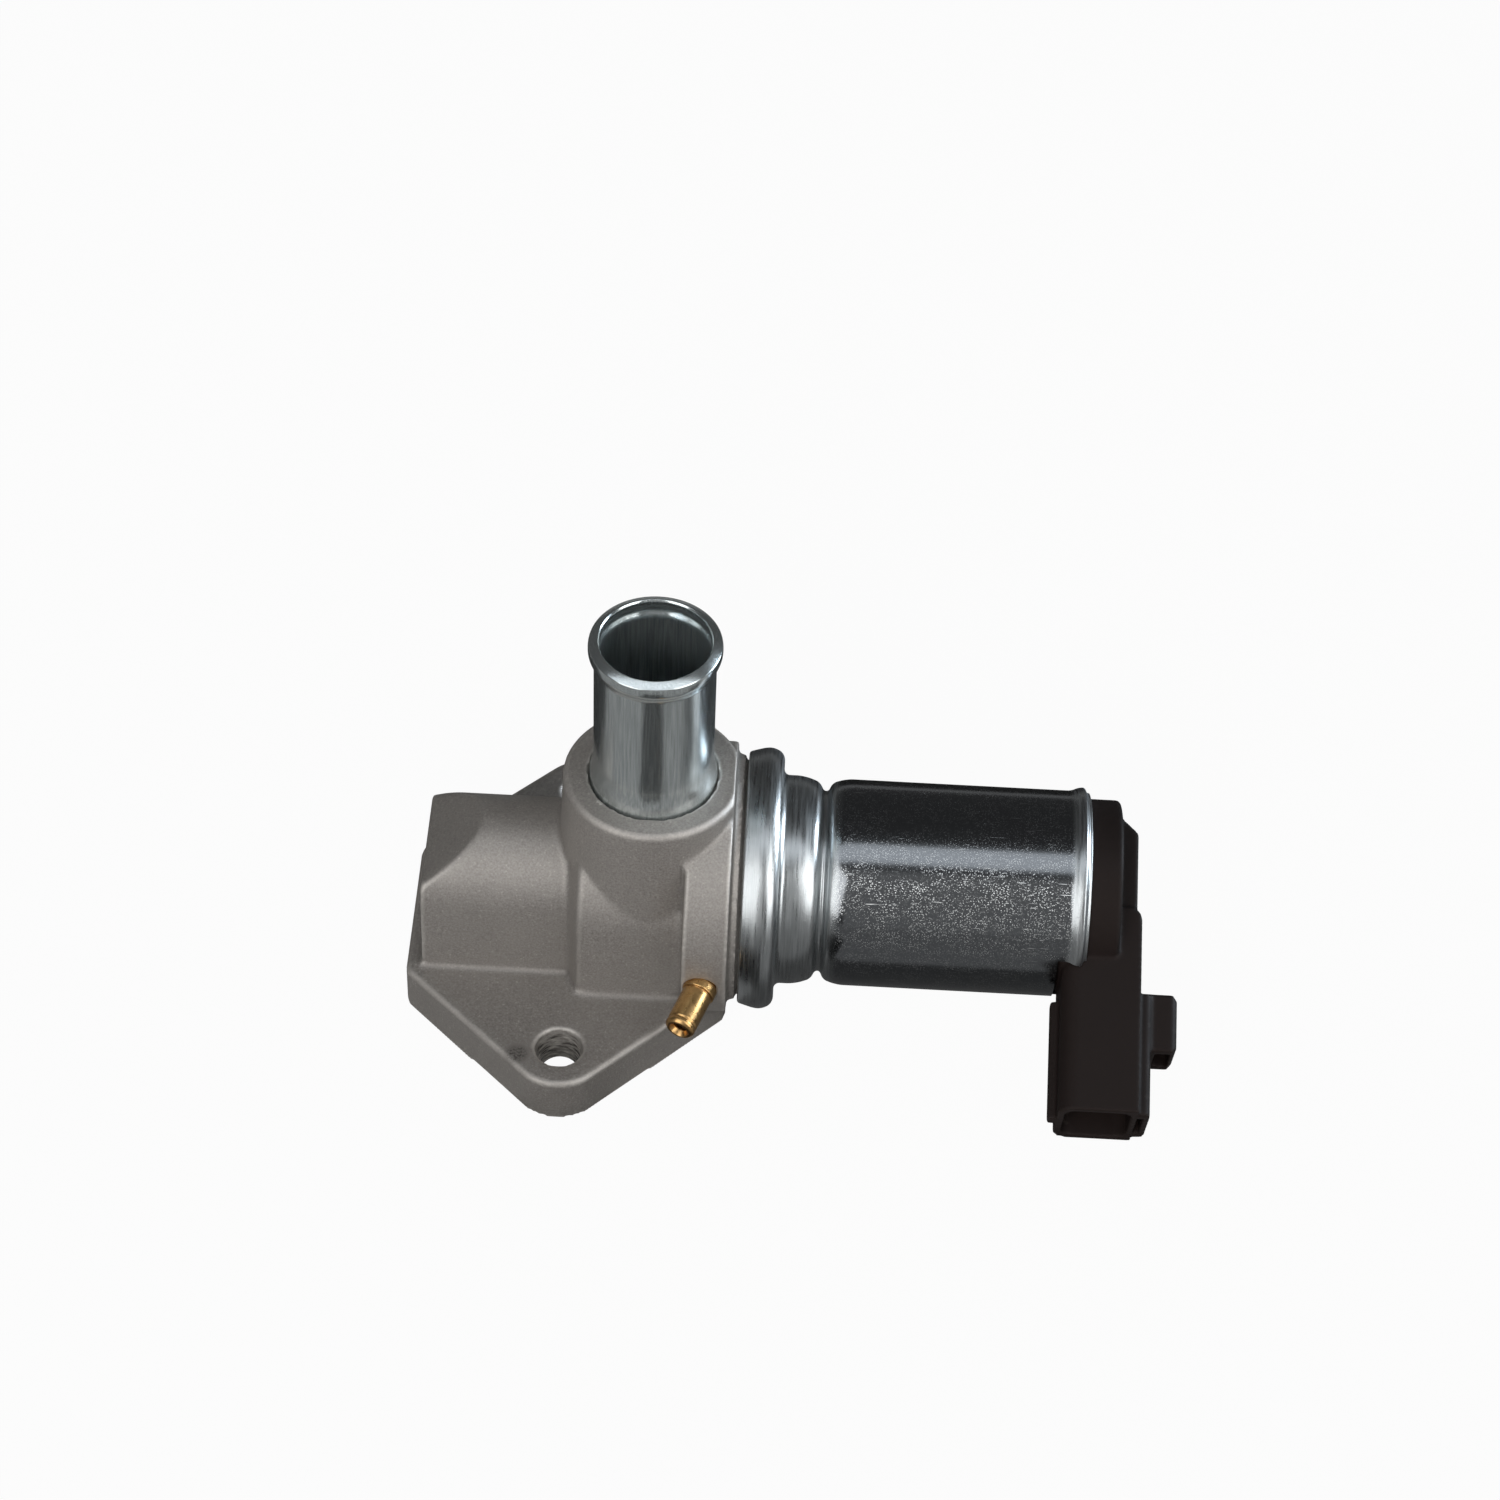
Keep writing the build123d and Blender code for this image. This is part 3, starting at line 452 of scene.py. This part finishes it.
# %% Zinc plate on the tube
line_scale = 0.03  # the pattern's scale along the tube, which draws its grains out to lines
zinc_tube, tree, place = new_finish("zinc_plated_tube")
stretched = add_node(
    tree,
    "ShaderNodeMapping",
    {"Vector": place, "Scale": (1.0, 1.0, line_scale)},
).outputs[0]
lines = add_node(
    tree,
    "ShaderNodeTexNoise",
    {"Vector": stretched, "Scale": per_metre(0.26), "Detail": 3.0, "Roughness": 0.6},
).outputs[0]
speckle = add_node(
    tree,
    "ShaderNodeTexNoise",
    {"Vector": place, "Scale": per_metre(0.5), "Detail": 2.0, "Roughness": 0.7},
).outputs[0]
streak = add_node(
    tree,
    "ShaderNodeMapRange",
    {"Value": lines, "From Min": 0.3, "From Max": 0.7, "To Min": 0.17, "To Max": 0.24},
).outputs[0]
ripple = add_node(
    tree,
    "ShaderNodeBump",
    {"Height": speckle, "Strength": 0.12, "Distance": 0.05 * mm},
).outputs[0]
drawn = add_node(
    tree,
    "ShaderNodeMapRange",
    {"Value": lines, "From Min": 0.32, "From Max": 0.68},
).outputs[0]
plate = add_node(
    tree,
    "ShaderNodeMix",
    {0: drawn, 6: linear("#bbc2c3"), 7: linear("#dde4e4")},
    data_type="RGBA",
).outputs[2]
around = add_node(tree, "ShaderNodeTangent", direction_type="RADIAL", axis="Z").outputs[0]
metal = add_node(
    tree,
    "ShaderNodeBsdfPrincipled",
    {
        "Base Color": plate,
        "Metallic": 0.9,
        "Roughness": streak,
        "Anisotropic": 0.5,
        "Anisotropic Rotation": 0.25,
        "Tangent": around,
        "Normal": ripple,
    },
)
add_node(tree, "ShaderNodeOutputMaterial", {"Surface": metal.outputs[0]})
print("made", zinc_tube.name)

# %% [markdown]
# ## Zinc plate on the can
# The can has the same plate, but its barrel is smooth and dark where it mirrors the room. Its groove,
# crimp and bead were rolled, which leaves fine rings around them. Handling has left bright specks on the
# barrel, in patches and mostly on its upper front, and a few scratches. A speck is a rough dot that
# catches light, so one mask gives it both a paler colour and more roughness. Real specks are finer than
# a pixel and are drawn at 0.28 mm to show.

# %% Zinc plate on the can: the rolled ends and their rings
zinc_can, tree, place = new_finish("zinc_plated_can")
along_can = add_node(tree, "ShaderNodeSeparateXYZ", {0: place}).outputs["X"]
groove_end = add_node(
    tree,
    "ShaderNodeMapRange",
    {"Value": along_can, "From Min": 47.6 * mm, "From Max": 46.0 * mm},
).outputs[0]
bead_start = add_node(
    tree,
    "ShaderNodeMapRange",
    {"Value": along_can, "From Min": 87.4 * mm, "From Max": 88.4 * mm},
).outputs[0]
rolled = add_node(tree, "ShaderNodeMath", {0: groove_end, 1: bead_start}, operation="MAXIMUM").outputs[0]
around_can = add_node(
    tree,
    "ShaderNodeMapping",
    {"Vector": place, "Scale": (1.0, 0.04, 0.04)},
).outputs[0]
rings = add_node(
    tree,
    "ShaderNodeTexNoise",
    {"Vector": around_can, "Scale": per_metre(0.35), "Detail": 3.0, "Roughness": 0.6},
).outputs[0]
print("rolled ends:", len(tree.nodes), "nodes")

# %% Zinc plate on the can: specks in patches, and scratches
dots = add_node(tree, "ShaderNodeTexVoronoi", {"Vector": place, "Scale": per_metre(0.28)})
dot = add_node(
    tree,
    "ShaderNodeMapRange",
    {"Value": dots.outputs["Distance"], "From Min": 0.46, "From Max": 0.18},
).outputs[0]
bright_dots = add_node(
    tree,
    "ShaderNodeMapRange",
    {"Value": dots.outputs["Color"], "From Min": 0.05, "From Max": 0.5},
).outputs[0]
worn_way = radians(37)  # above level, towards the front
towards_front = add_node(
    tree,
    "ShaderNodeVectorMath",
    {0: place, 1: (0, -cos(worn_way), sin(worn_way))},
    operation="DOT_PRODUCT",
).outputs["Value"]
worn_front = add_node(
    tree,
    "ShaderNodeMapRange",
    {"Value": towards_front, "From Min": 29.2 * mm, "From Max": 31.2 * mm, "To Min": 0.4},
).outputs[0]
patches = add_node(
    tree,
    "ShaderNodeTexNoise",
    {"Vector": place, "Scale": per_metre(3.0), "Detail": 3.0, "Roughness": 0.6},
).outputs[0]
patchy = add_node(
    tree,
    "ShaderNodeMapRange",
    {"Value": patches, "From Min": 0.34, "From Max": 0.54, "To Min": 0.25},
).outputs[0]
scuffed = dot
for mask in (bright_dots, patchy):
    scuffed = add_node(tree, "ShaderNodeMath", {0: scuffed, 1: mask}, operation="MULTIPLY").outputs[0]
scratch_turns = (35, -50)
for turn in scratch_turns:
    turned_place = add_node(
        tree,
        "ShaderNodeMapping",
        {"Vector": place, "Rotation": (0, 0, radians(turn)), "Scale": (1.0, 24.0, 24.0)},
    ).outputs[0]
    strokes = add_node(
        tree,
        "ShaderNodeTexNoise",
        {"Vector": turned_place, "Scale": per_metre(4.5), "Detail": 1.0, "Roughness": 0.5},
    ).outputs[0]
    scratch = add_node(
        tree,
        "ShaderNodeMapRange",
        {"Value": strokes, "From Min": 0.74, "From Max": 0.8},
    ).outputs[0]
    scuffed = add_node(tree, "ShaderNodeMath", {0: scuffed, 1: scratch}, operation="MAXIMUM").outputs[0]
scuffed = add_node(tree, "ShaderNodeMath", {0: scuffed, 1: worn_front}, operation="MULTIPLY").outputs[0]
print("with specks and scratches:", len(tree.nodes), "nodes")

# %% Zinc plate on the can: colour and roughness
smooth_plate = add_node(
    tree,
    "ShaderNodeMix",
    {0: scuffed, 6: linear("#787b7e"), 7: linear("#f6f8f8")},
    data_type="RGBA",
).outputs[2]
rolled_plate = add_node(
    tree,
    "ShaderNodeMix",
    {0: rings, 6: linear("#74787a"), 7: linear("#cdd1d2")},
    data_type="RGBA",
).outputs[2]
plate = add_node(
    tree,
    "ShaderNodeMix",
    {0: rolled, 6: smooth_plate, 7: rolled_plate},
    data_type="RGBA",
).outputs[2]
smooth_wear = add_node(
    tree,
    "ShaderNodeMapRange",
    {"Value": scuffed, "To Min": 0.16, "To Max": 0.42},
).outputs[0]
rolled_wear = add_node(
    tree,
    "ShaderNodeMapRange",
    {"Value": rings, "From Min": 0.3, "From Max": 0.7, "To Min": 0.24, "To Max": 0.38},
).outputs[0]
wear = add_node(tree, "ShaderNodeMix", {0: rolled, 2: smooth_wear, 3: rolled_wear}).outputs[0]
ripple = add_node(
    tree,
    "ShaderNodeBump",
    {"Height": scuffed, "Strength": 0.4, "Distance": 0.03 * mm},
).outputs[0]
metal = add_node(
    tree,
    "ShaderNodeBsdfPrincipled",
    {"Base Color": plate, "Metallic": 1.0, "Roughness": wear, "Normal": ripple},
)
add_node(tree, "ShaderNodeOutputMaterial", {"Surface": metal.outputs[0]})
print("made", zinc_can.name)

# %% [markdown]
# ## Brass, nylon and the hidden finishes
# The nipple is turned brass: a warm yellow metal, bright but not polished. The cap is black glass-filled
# nylon, which is dull and takes up almost no reflection, with a fine moulded grain. The pieces inside
# are steel, bronze, aluminium, copper wire and rubber. They show only when the valve is opened up, so
# all the metals share one pattern, a fine uneven sheen, and differ in colour and roughness.

# %% Turned metals
def turned_metal(name, colour, shadow, roughness, grain_mm):
    """Bare metal with a fine uneven sheen, brighter and duller by turns."""
    material, tree, place = new_finish(name)
    sheen = add_node(
        tree,
        "ShaderNodeTexNoise",
        {"Vector": place, "Scale": per_metre(grain_mm), "Detail": 2.0, "Roughness": 0.5},
    ).outputs[0]
    shade = add_node(
        tree,
        "ShaderNodeMix",
        {0: sheen, 6: linear(shadow), 7: linear(colour)},
        data_type="RGBA",
    ).outputs[2]
    rough = add_node(
        tree,
        "ShaderNodeMapRange",
        {"Value": sheen, "To Min": roughness - 0.06, "To Max": roughness + 0.1},
    ).outputs[0]
    relief = add_node(
        tree,
        "ShaderNodeBump",
        {"Height": sheen, "Strength": 0.05, "Distance": 0.03 * mm},
    ).outputs[0]
    metal = add_node(
        tree,
        "ShaderNodeBsdfPrincipled",
        {"Base Color": shade, "Metallic": 1.0, "Roughness": rough, "Normal": relief},
    )
    add_node(tree, "ShaderNodeOutputMaterial", {"Surface": metal.outputs[0]})
    return material


brass = turned_metal("brass", "#d2ab76", "#b08a54", 0.28, 0.8)
bronze = turned_metal("sintered_bronze", "#b98a5a", "#8a6238", 0.42, 0.5)
magnet_steel = turned_metal("turned_magnet_steel", "#b2b2b4", "#8f8f92", 0.34, 0.7)
stainless = turned_metal("ground_stainless", "#c9c9c9", "#b0b0b0", 0.22, 0.6)
spring_steel = turned_metal("spring_steel", "#a2a2a6", "#77777b", 0.3, 0.6)
turned_aluminium = turned_metal("turned_aluminium", "#cfcfd2", "#b4b4b8", 0.3, 0.6)
tin_plate = turned_metal("tin_plate", "#d4d2c8", "#b8b5aa", 0.28, 0.7)
copper_wire = turned_metal("enamelled_copper", "#b5622f", "#7c3a1b", 0.3, 0.45)
print("made metals such as", brass.name)

# %% Moulded plastics and rubber
def moulded(name, colour, worn, roughness, grain_mm):
    """Dull moulded surface: a fine grain, and slightly paler on rubbed edges."""
    material, tree, place = new_finish(name)
    grain = add_node(
        tree,
        "ShaderNodeTexNoise",
        {"Vector": place, "Scale": per_metre(grain_mm), "Detail": 3.0, "Roughness": 0.6},
    ).outputs[0]
    clouds = add_node(
        tree,
        "ShaderNodeTexNoise",
        {"Vector": place, "Scale": per_metre(6.0), "Detail": 3.0, "Roughness": 0.6},
    ).outputs[0]
    bend = add_node(tree, "ShaderNodeNewGeometry").outputs["Pointiness"]
    edge = add_node(
        tree,
        "ShaderNodeMapRange",
        {"Value": bend, "From Min": 0.52, "From Max": 0.6, "To Max": 0.8},
    ).outputs[0]
    shade = add_node(tree, "ShaderNodeMath", {0: edge, 1: clouds}, operation="MULTIPLY").outputs[0]
    tone = add_node(
        tree,
        "ShaderNodeMix",
        {0: shade, 6: linear(colour), 7: linear(worn)},
        data_type="RGBA",
    ).outputs[2]
    rough = add_node(
        tree,
        "ShaderNodeMapRange",
        {"Value": clouds, "To Min": roughness - 0.1, "To Max": roughness + 0.1},
    ).outputs[0]
    relief = add_node(
        tree,
        "ShaderNodeBump",
        {"Height": grain, "Strength": 0.2, "Distance": 0.06 * mm},
    ).outputs[0]
    skin = add_node(
        tree,
        "ShaderNodeBsdfPrincipled",
        {"Base Color": tone, "Roughness": rough, "Specular IOR Level": 0.1, "Normal": relief},
    )
    add_node(tree, "ShaderNodeOutputMaterial", {"Surface": skin.outputs[0]})
    return material


black_nylon = moulded("black_nylon", "#2a2220", "#463f3b", 0.6, 0.5)
bobbin_nylon = moulded("bobbin_nylon", "#3a3a3a", "#5a5a5a", 0.5, 0.6)
black_rubber = moulded("black_rubber", "#1c1c1c", "#3a3a3a", 0.7, 0.6)
print("made", [finish.name for finish in (black_nylon, bobbin_nylon, black_rubber)])

# %% [markdown]
# ## Cast body and cap: soft skins over the solids
# A casting has no sharp corners: metal does not fill them, and blasting wears them. The solid has the
# true shape, so a copy of it is taken, its loose triangles are merged, and it is remeshed to small even
# faces, which turns each corner into a narrow round. A few rounds of smoothing soften the corners and
# leave the flats flat.

# %% Copy of a solid, and its soft skin
weld = 0.001 * mm  # points closer than this are one point


def joined_copy(node, name):
    """Copy of a CAD node whose loose triangles are joined."""
    piece = bpy.data.objects.new(name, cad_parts[node].data.copy())
    bpy.context.scene.collection.objects.link(piece)
    only(piece)
    bpy.ops.object.mode_set(mode="EDIT")
    bpy.ops.mesh.select_all(action="SELECT")
    bpy.ops.mesh.remove_doubles(threshold=weld)
    bpy.ops.object.mode_set(mode="OBJECT")
    return piece


def cut_away(piece, tool):
    """Takes the tool's shape out of the piece."""
    only(piece)
    cut = piece.modifiers.new("cut", "BOOLEAN")
    cut.operation = "DIFFERENCE"
    cut.object = tool
    bpy.ops.object.modifier_apply(modifier="cut")
    bpy.data.objects.remove(tool)


def soft_skin(piece, node, face_mm, rounds, material):
    """Gives the copy of a CAD node even faces and softened corners, and puts it in the node's place."""
    only(piece)
    remesh = piece.modifiers.new("even_faces", "REMESH")
    remesh.mode = "VOXEL"
    remesh.voxel_size = face_mm * mm
    bpy.ops.object.modifier_apply(modifier="even_faces")
    soften = piece.modifiers.new("soft_corners", "SMOOTH")
    soften.factor = 0.5
    soften.iterations = rounds
    bpy.ops.object.modifier_apply(modifier="soft_corners")
    bpy.ops.object.shade_smooth()
    piece.data.materials.clear()
    piece.data.materials.append(material)
    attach(piece, "housing")
    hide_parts(node)
    print(piece.name, "faces", len(piece.data.polygons))


# %% Body: the mounting face is relieved beside each bolt hole, towards the port
relief_foot_r, relief_top_r, relief_depth, relief_z = 4.5, 2.5, 2.4, 1.0
body_casting = joined_copy("valve_body", "body_casting")
for relief_y in (-29.6, 29.6):
    bpy.ops.object.select_all(action="DESELECT")
    bpy.ops.mesh.primitive_cone_add(
        vertices=48,
        radius1=relief_foot_r * mm,
        radius2=relief_top_r * mm,
        depth=relief_depth * mm,
        location=(0, relief_y * mm, relief_z * mm),
    )
    cut_away(body_casting, bpy.context.object)
soft_skin(body_casting, "valve_body", 0.5, 3, cast_aluminium)

# %% Cap with its connector
cap_moulding = joined_copy("end_cap", "cap_moulding")
soft_skin(cap_moulding, "end_cap", 0.35, 3, black_nylon)

# %% [markdown]
# ## Turned and drawn pieces
# The tube, the can and the nipple are round, so each is half of its section spun about an axis. The
# section is drawn as by hand: one vertex, extruded from corner to corner, and each corner then bevelled
# to its own round. That gives true rolled beads and grooves, which the solids have only as flat cones.
# Each corner below is its place along the axis, its radius and its round, in millimetres.

# %% Spun section
smooth_angle = radians(40)  # edges that bend more than this stay sharp
corner_segments = 5


def select_near(piece, places):
    """Selects the vertices of the piece in edit mode that lie at these places."""
    mesh = bmesh.from_edit_mesh(piece.data)
    for vertex in mesh.verts:
        vertex.select_set(any((vertex.co - place).length < 2 * weld for place in places))
    mesh.select_flush_mode()
    bmesh.update_edit_mesh(piece.data)


def spun(name, corners, foot, axis, side, steps, material):
    """Spins a closed section. Corners are (along the axis, radius, round) in millimetres from the foot."""
    points = [foot + (axis * along + side * radius) * mm for along, radius, _ in corners]
    bpy.ops.object.select_all(action="DESELECT")
    bpy.ops.mesh.primitive_plane_add(size=1 * mm)
    piece = bpy.context.object
    piece.name = name
    bpy.ops.object.mode_set(mode="EDIT")
    bpy.ops.mesh.merge(type="CENTER")
    bpy.ops.transform.translate(value=points[0])
    for start, end in zip(points, points[1:]):
        bpy.ops.mesh.extrude_region_move(TRANSFORM_OT_translate={"value": end - start})
    bpy.ops.mesh.select_all(action="SELECT")
    select_near(piece, [points[0], points[-1]])
    bpy.ops.mesh.edge_face_add()
    for point, (_, _, cut) in zip(points, corners):
        if cut > 0:
            select_near(piece, [point])
            bpy.ops.mesh.bevel(offset=cut * mm, segments=corner_segments, affect="VERTICES")
    bpy.ops.mesh.select_all(action="SELECT")
    bpy.ops.mesh.spin(steps=steps, angle=2 * pi, center=foot, axis=axis)
    bpy.ops.mesh.select_all(action="SELECT")
    bpy.ops.mesh.remove_doubles(threshold=weld)
    bpy.ops.mesh.normals_make_consistent(inside=False)
    bpy.ops.object.mode_set(mode="OBJECT")
    bpy.ops.object.shade_smooth_by_angle(angle=smooth_angle)
    piece.data.materials.append(material)
    return piece


print("corners have", corner_segments, "segments")

# %% Hose tube
tube_foot = Vector((14.24, 0, 0)) * mm
tube_steps = 112
tube_section = [
    (39.0, 9.4, 0.2),
    (39.0, 10.4, 0.2),
    (46.6, 10.4, 0),
    (46.6, 11.1, 0.2),
    (48.6, 11.1, 0.5),
    (51.6, 10.4, 1.4),
    (75.9, 10.4, 0.9),
    (77.2, 11.4, 0.7),
    (78.7, 11.4, 0.3),
    (79.24, 11.28, 0.12),
    (80.0, 9.78, 0.12),
    (79.6, 9.5, 0.15),
    (79.0, 9.55, 0.2),
    (77.6, 10.2, 0.6),
    (76.2, 9.4, 0.5),
]
tube = spun(
    "plated_hose_tube",
    tube_section,
    tube_foot,
    Vector((0, 0, 1)),
    Vector((1, 0, 0)),
    tube_steps,
    zinc_tube,
)
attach(tube, "housing")
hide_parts("hose_tube")
print("tube faces", len(tube.data.polygons))

# %% Vacuum nipple
nipple_way = Vector((-0.358368, -0.923327, -0.137993))
nipple_foot = Vector((24.365, -23.1825, 18.5353)) * mm
nipple_side = nipple_way.orthogonal().normalized()
nipple_steps = 64
nipple_section = [
    (-6.0, 1.3, 0),
    (-6.0, 2.4, 0.2),
    (0.0, 2.4, 0),
    (0.0, 2.95, 0.12),
    (1.7, 2.95, 0.25),
    (1.7, 2.5, 0.1),
    (2.0, 2.5, 0.1),
    (2.0, 2.7, 0.1),
    (8.05, 2.7, 0.1),
    (8.35, 2.5, 0.1),
    (8.65, 2.7, 0.1),
    (9.25, 2.7, 0.25),
    (9.75, 2.2, 0.2),
    (9.75, 1.8, 0.1),
    (8.75, 1.3, 0.1),
]
nipple = spun("brass_nipple", nipple_section, nipple_foot, nipple_way, nipple_side, nipple_steps, brass)
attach(nipple, "housing")
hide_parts("vacuum_nipple")
print("nipple faces", len(nipple.data.polygons))

# %% Solenoid can
axis_z = 22 * mm
solenoid_foot = Vector((0, 0, axis_z))
can_end, can_steps = 91.1, 160
can_section = [
    (30.55, 21.0, 0),
    (30.55, 22.3, 0.4),
    (31.3, 22.55, 0.3),
    (33.6, 23.2, 0.7),
    (34.9, 23.2, 0.6),
    (36.4, 22.5, 0.6),
    (36.9, 21.4, 0.4),
    (36.9, 18.5, 1.0),
    (40.6, 18.5, 1.4),
    (43.3, 17.5, 0.7),
    (44.1, 16.0, 0.4),
    (44.9, 16.0, 0.4),
    (45.6, 17.5, 0.7),
    (48.0, 18.3, 1.2),
    (87.9, 18.3, 0.6),
    (89.3, 18.95, 0.6),
    (90.2, 18.95, 0.35),
    (90.6, 18.1, 0.2),
    (can_end, 18.0, 0.1),
    (can_end, 17.1, 0.1),
    (47.8, 17.1, 0),
    (45.6, 14.8, 0),
    (43.4, 14.8, 0),
    (41.2, 17.1, 0),
    (35.7, 17.1, 0),
    (35.7, 21.75, 0),
    (31.3, 21.75, 0),
    (31.3, 21.0, 0),
]
can = spun(
    "plated_can",
    can_section,
    solenoid_foot,
    Vector((1, 0, 0)),
    Vector((0, 0, 1)),
    can_steps,
    zinc_can,
)
print("can faces", len(can.data.polygons))

# %% Notch for the connector in the can's end
connector_below = radians(22)
connector_way = Vector((0, -cos(connector_below), -sin(connector_below)))
connector_up = Vector((0, -sin(connector_below), cos(connector_below)))
notch_length, notch_reach, notch_height = 10, 30, 18.1
bpy.ops.mesh.primitive_cube_add(size=1)
notch = bpy.context.object
notch_middle = solenoid_foot + (Vector((can_end, 0, 0)) + connector_way * notch_reach / 2) * mm
notch.matrix_world = (
    Matrix.Translation(notch_middle)
    @ Matrix((Vector((1, 0, 0)), -connector_way, connector_up)).transposed().to_4x4()
    @ Matrix.Diagonal((notch_length * mm, notch_reach * mm, notch_height * mm, 1))
)
cut_away(can, notch)
bpy.ops.object.shade_smooth_by_angle(angle=smooth_angle)
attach(can, "housing")
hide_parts("solenoid_can")
print("can faces with its notch", len(can.data.polygons))

# %% [markdown]
# ## Return spring
# The spring is a helix of round wire that shortens as the plunger opens. A small circle is swept by a
# Screw modifier, which is how a spring is coiled.

# %% Return spring
spring_start, spring_end, spring_r, wire_r, turns = 9.95, 32.9, 6.2, 0.5, 6.5
wire_sides, steps_per_turn = 12, 36
bpy.ops.object.select_all(action="DESELECT")
bpy.ops.mesh.primitive_circle_add(vertices=wire_sides, radius=wire_r * mm, fill_type="NGON")
spring = bpy.context.object
spring.name = "coiled_spring"
bpy.ops.object.mode_set(mode="EDIT")
bpy.ops.mesh.select_all(action="SELECT")
bpy.ops.transform.translate(value=(0, spring_r * mm, 0))
bpy.ops.object.mode_set(mode="OBJECT")
coil_up = spring.modifiers.new("coil", "SCREW")
coil_up.axis = "X"
coil_up.angle = 2 * pi * turns
coil_up.screw_offset = (spring_end - spring_start) * mm
coil_up.steps = round(steps_per_turn * turns)
coil_up.render_steps = coil_up.steps
coil_up.use_merge_vertices = False
bpy.ops.object.modifier_apply(modifier="coil")
bpy.ops.object.mode_set(mode="EDIT")
bpy.ops.mesh.select_all(action="SELECT")
bpy.ops.mesh.remove_doubles(threshold=weld)
bpy.ops.mesh.normals_make_consistent(inside=False)
bpy.ops.transform.translate(value=(spring_start * mm, 0, axis_z))
bpy.ops.object.mode_set(mode="OBJECT")
bpy.ops.object.shade_smooth_by_angle(angle=smooth_angle)
spring.data.materials.append(spring_steel)
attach(spring, "housing")
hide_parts("return_spring")
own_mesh(spring)
print("spring faces", len(spring.data.polygons))

# %% [markdown]
# ## Pieces inside
# The pieces inside keep their solids, which are the right shape already, and take the finish of what
# they are.

# %% Finishes of the inner pieces
inner_finishes = {
    "seat_ring": brass,
    "body_seal": black_rubber,
    "front_plate": magnet_steel,
    "front_bush": bronze,
    "rear_bush": bronze,
    "guide_sleeve": brass,
    "bobbin": bobbin_nylon,
    "coil": copper_wire,
    "pole_core": magnet_steel,
    "shim_washer": brass,
    "rear_plate": magnet_steel,
    "rear_gasket": black_rubber,
    "armature": magnet_steel,
    "valve_rod": stainless,
    "poppet": turned_aluminium,
    "poppet_seal": black_rubber,
    "poppet_clip": stainless,
    "terminals": tin_plate,
}
for node, finish in inner_finishes.items():
    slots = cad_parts[node].data.materials
    slots.clear()
    slots.append(finish)
print("inner pieces", len(inner_finishes))
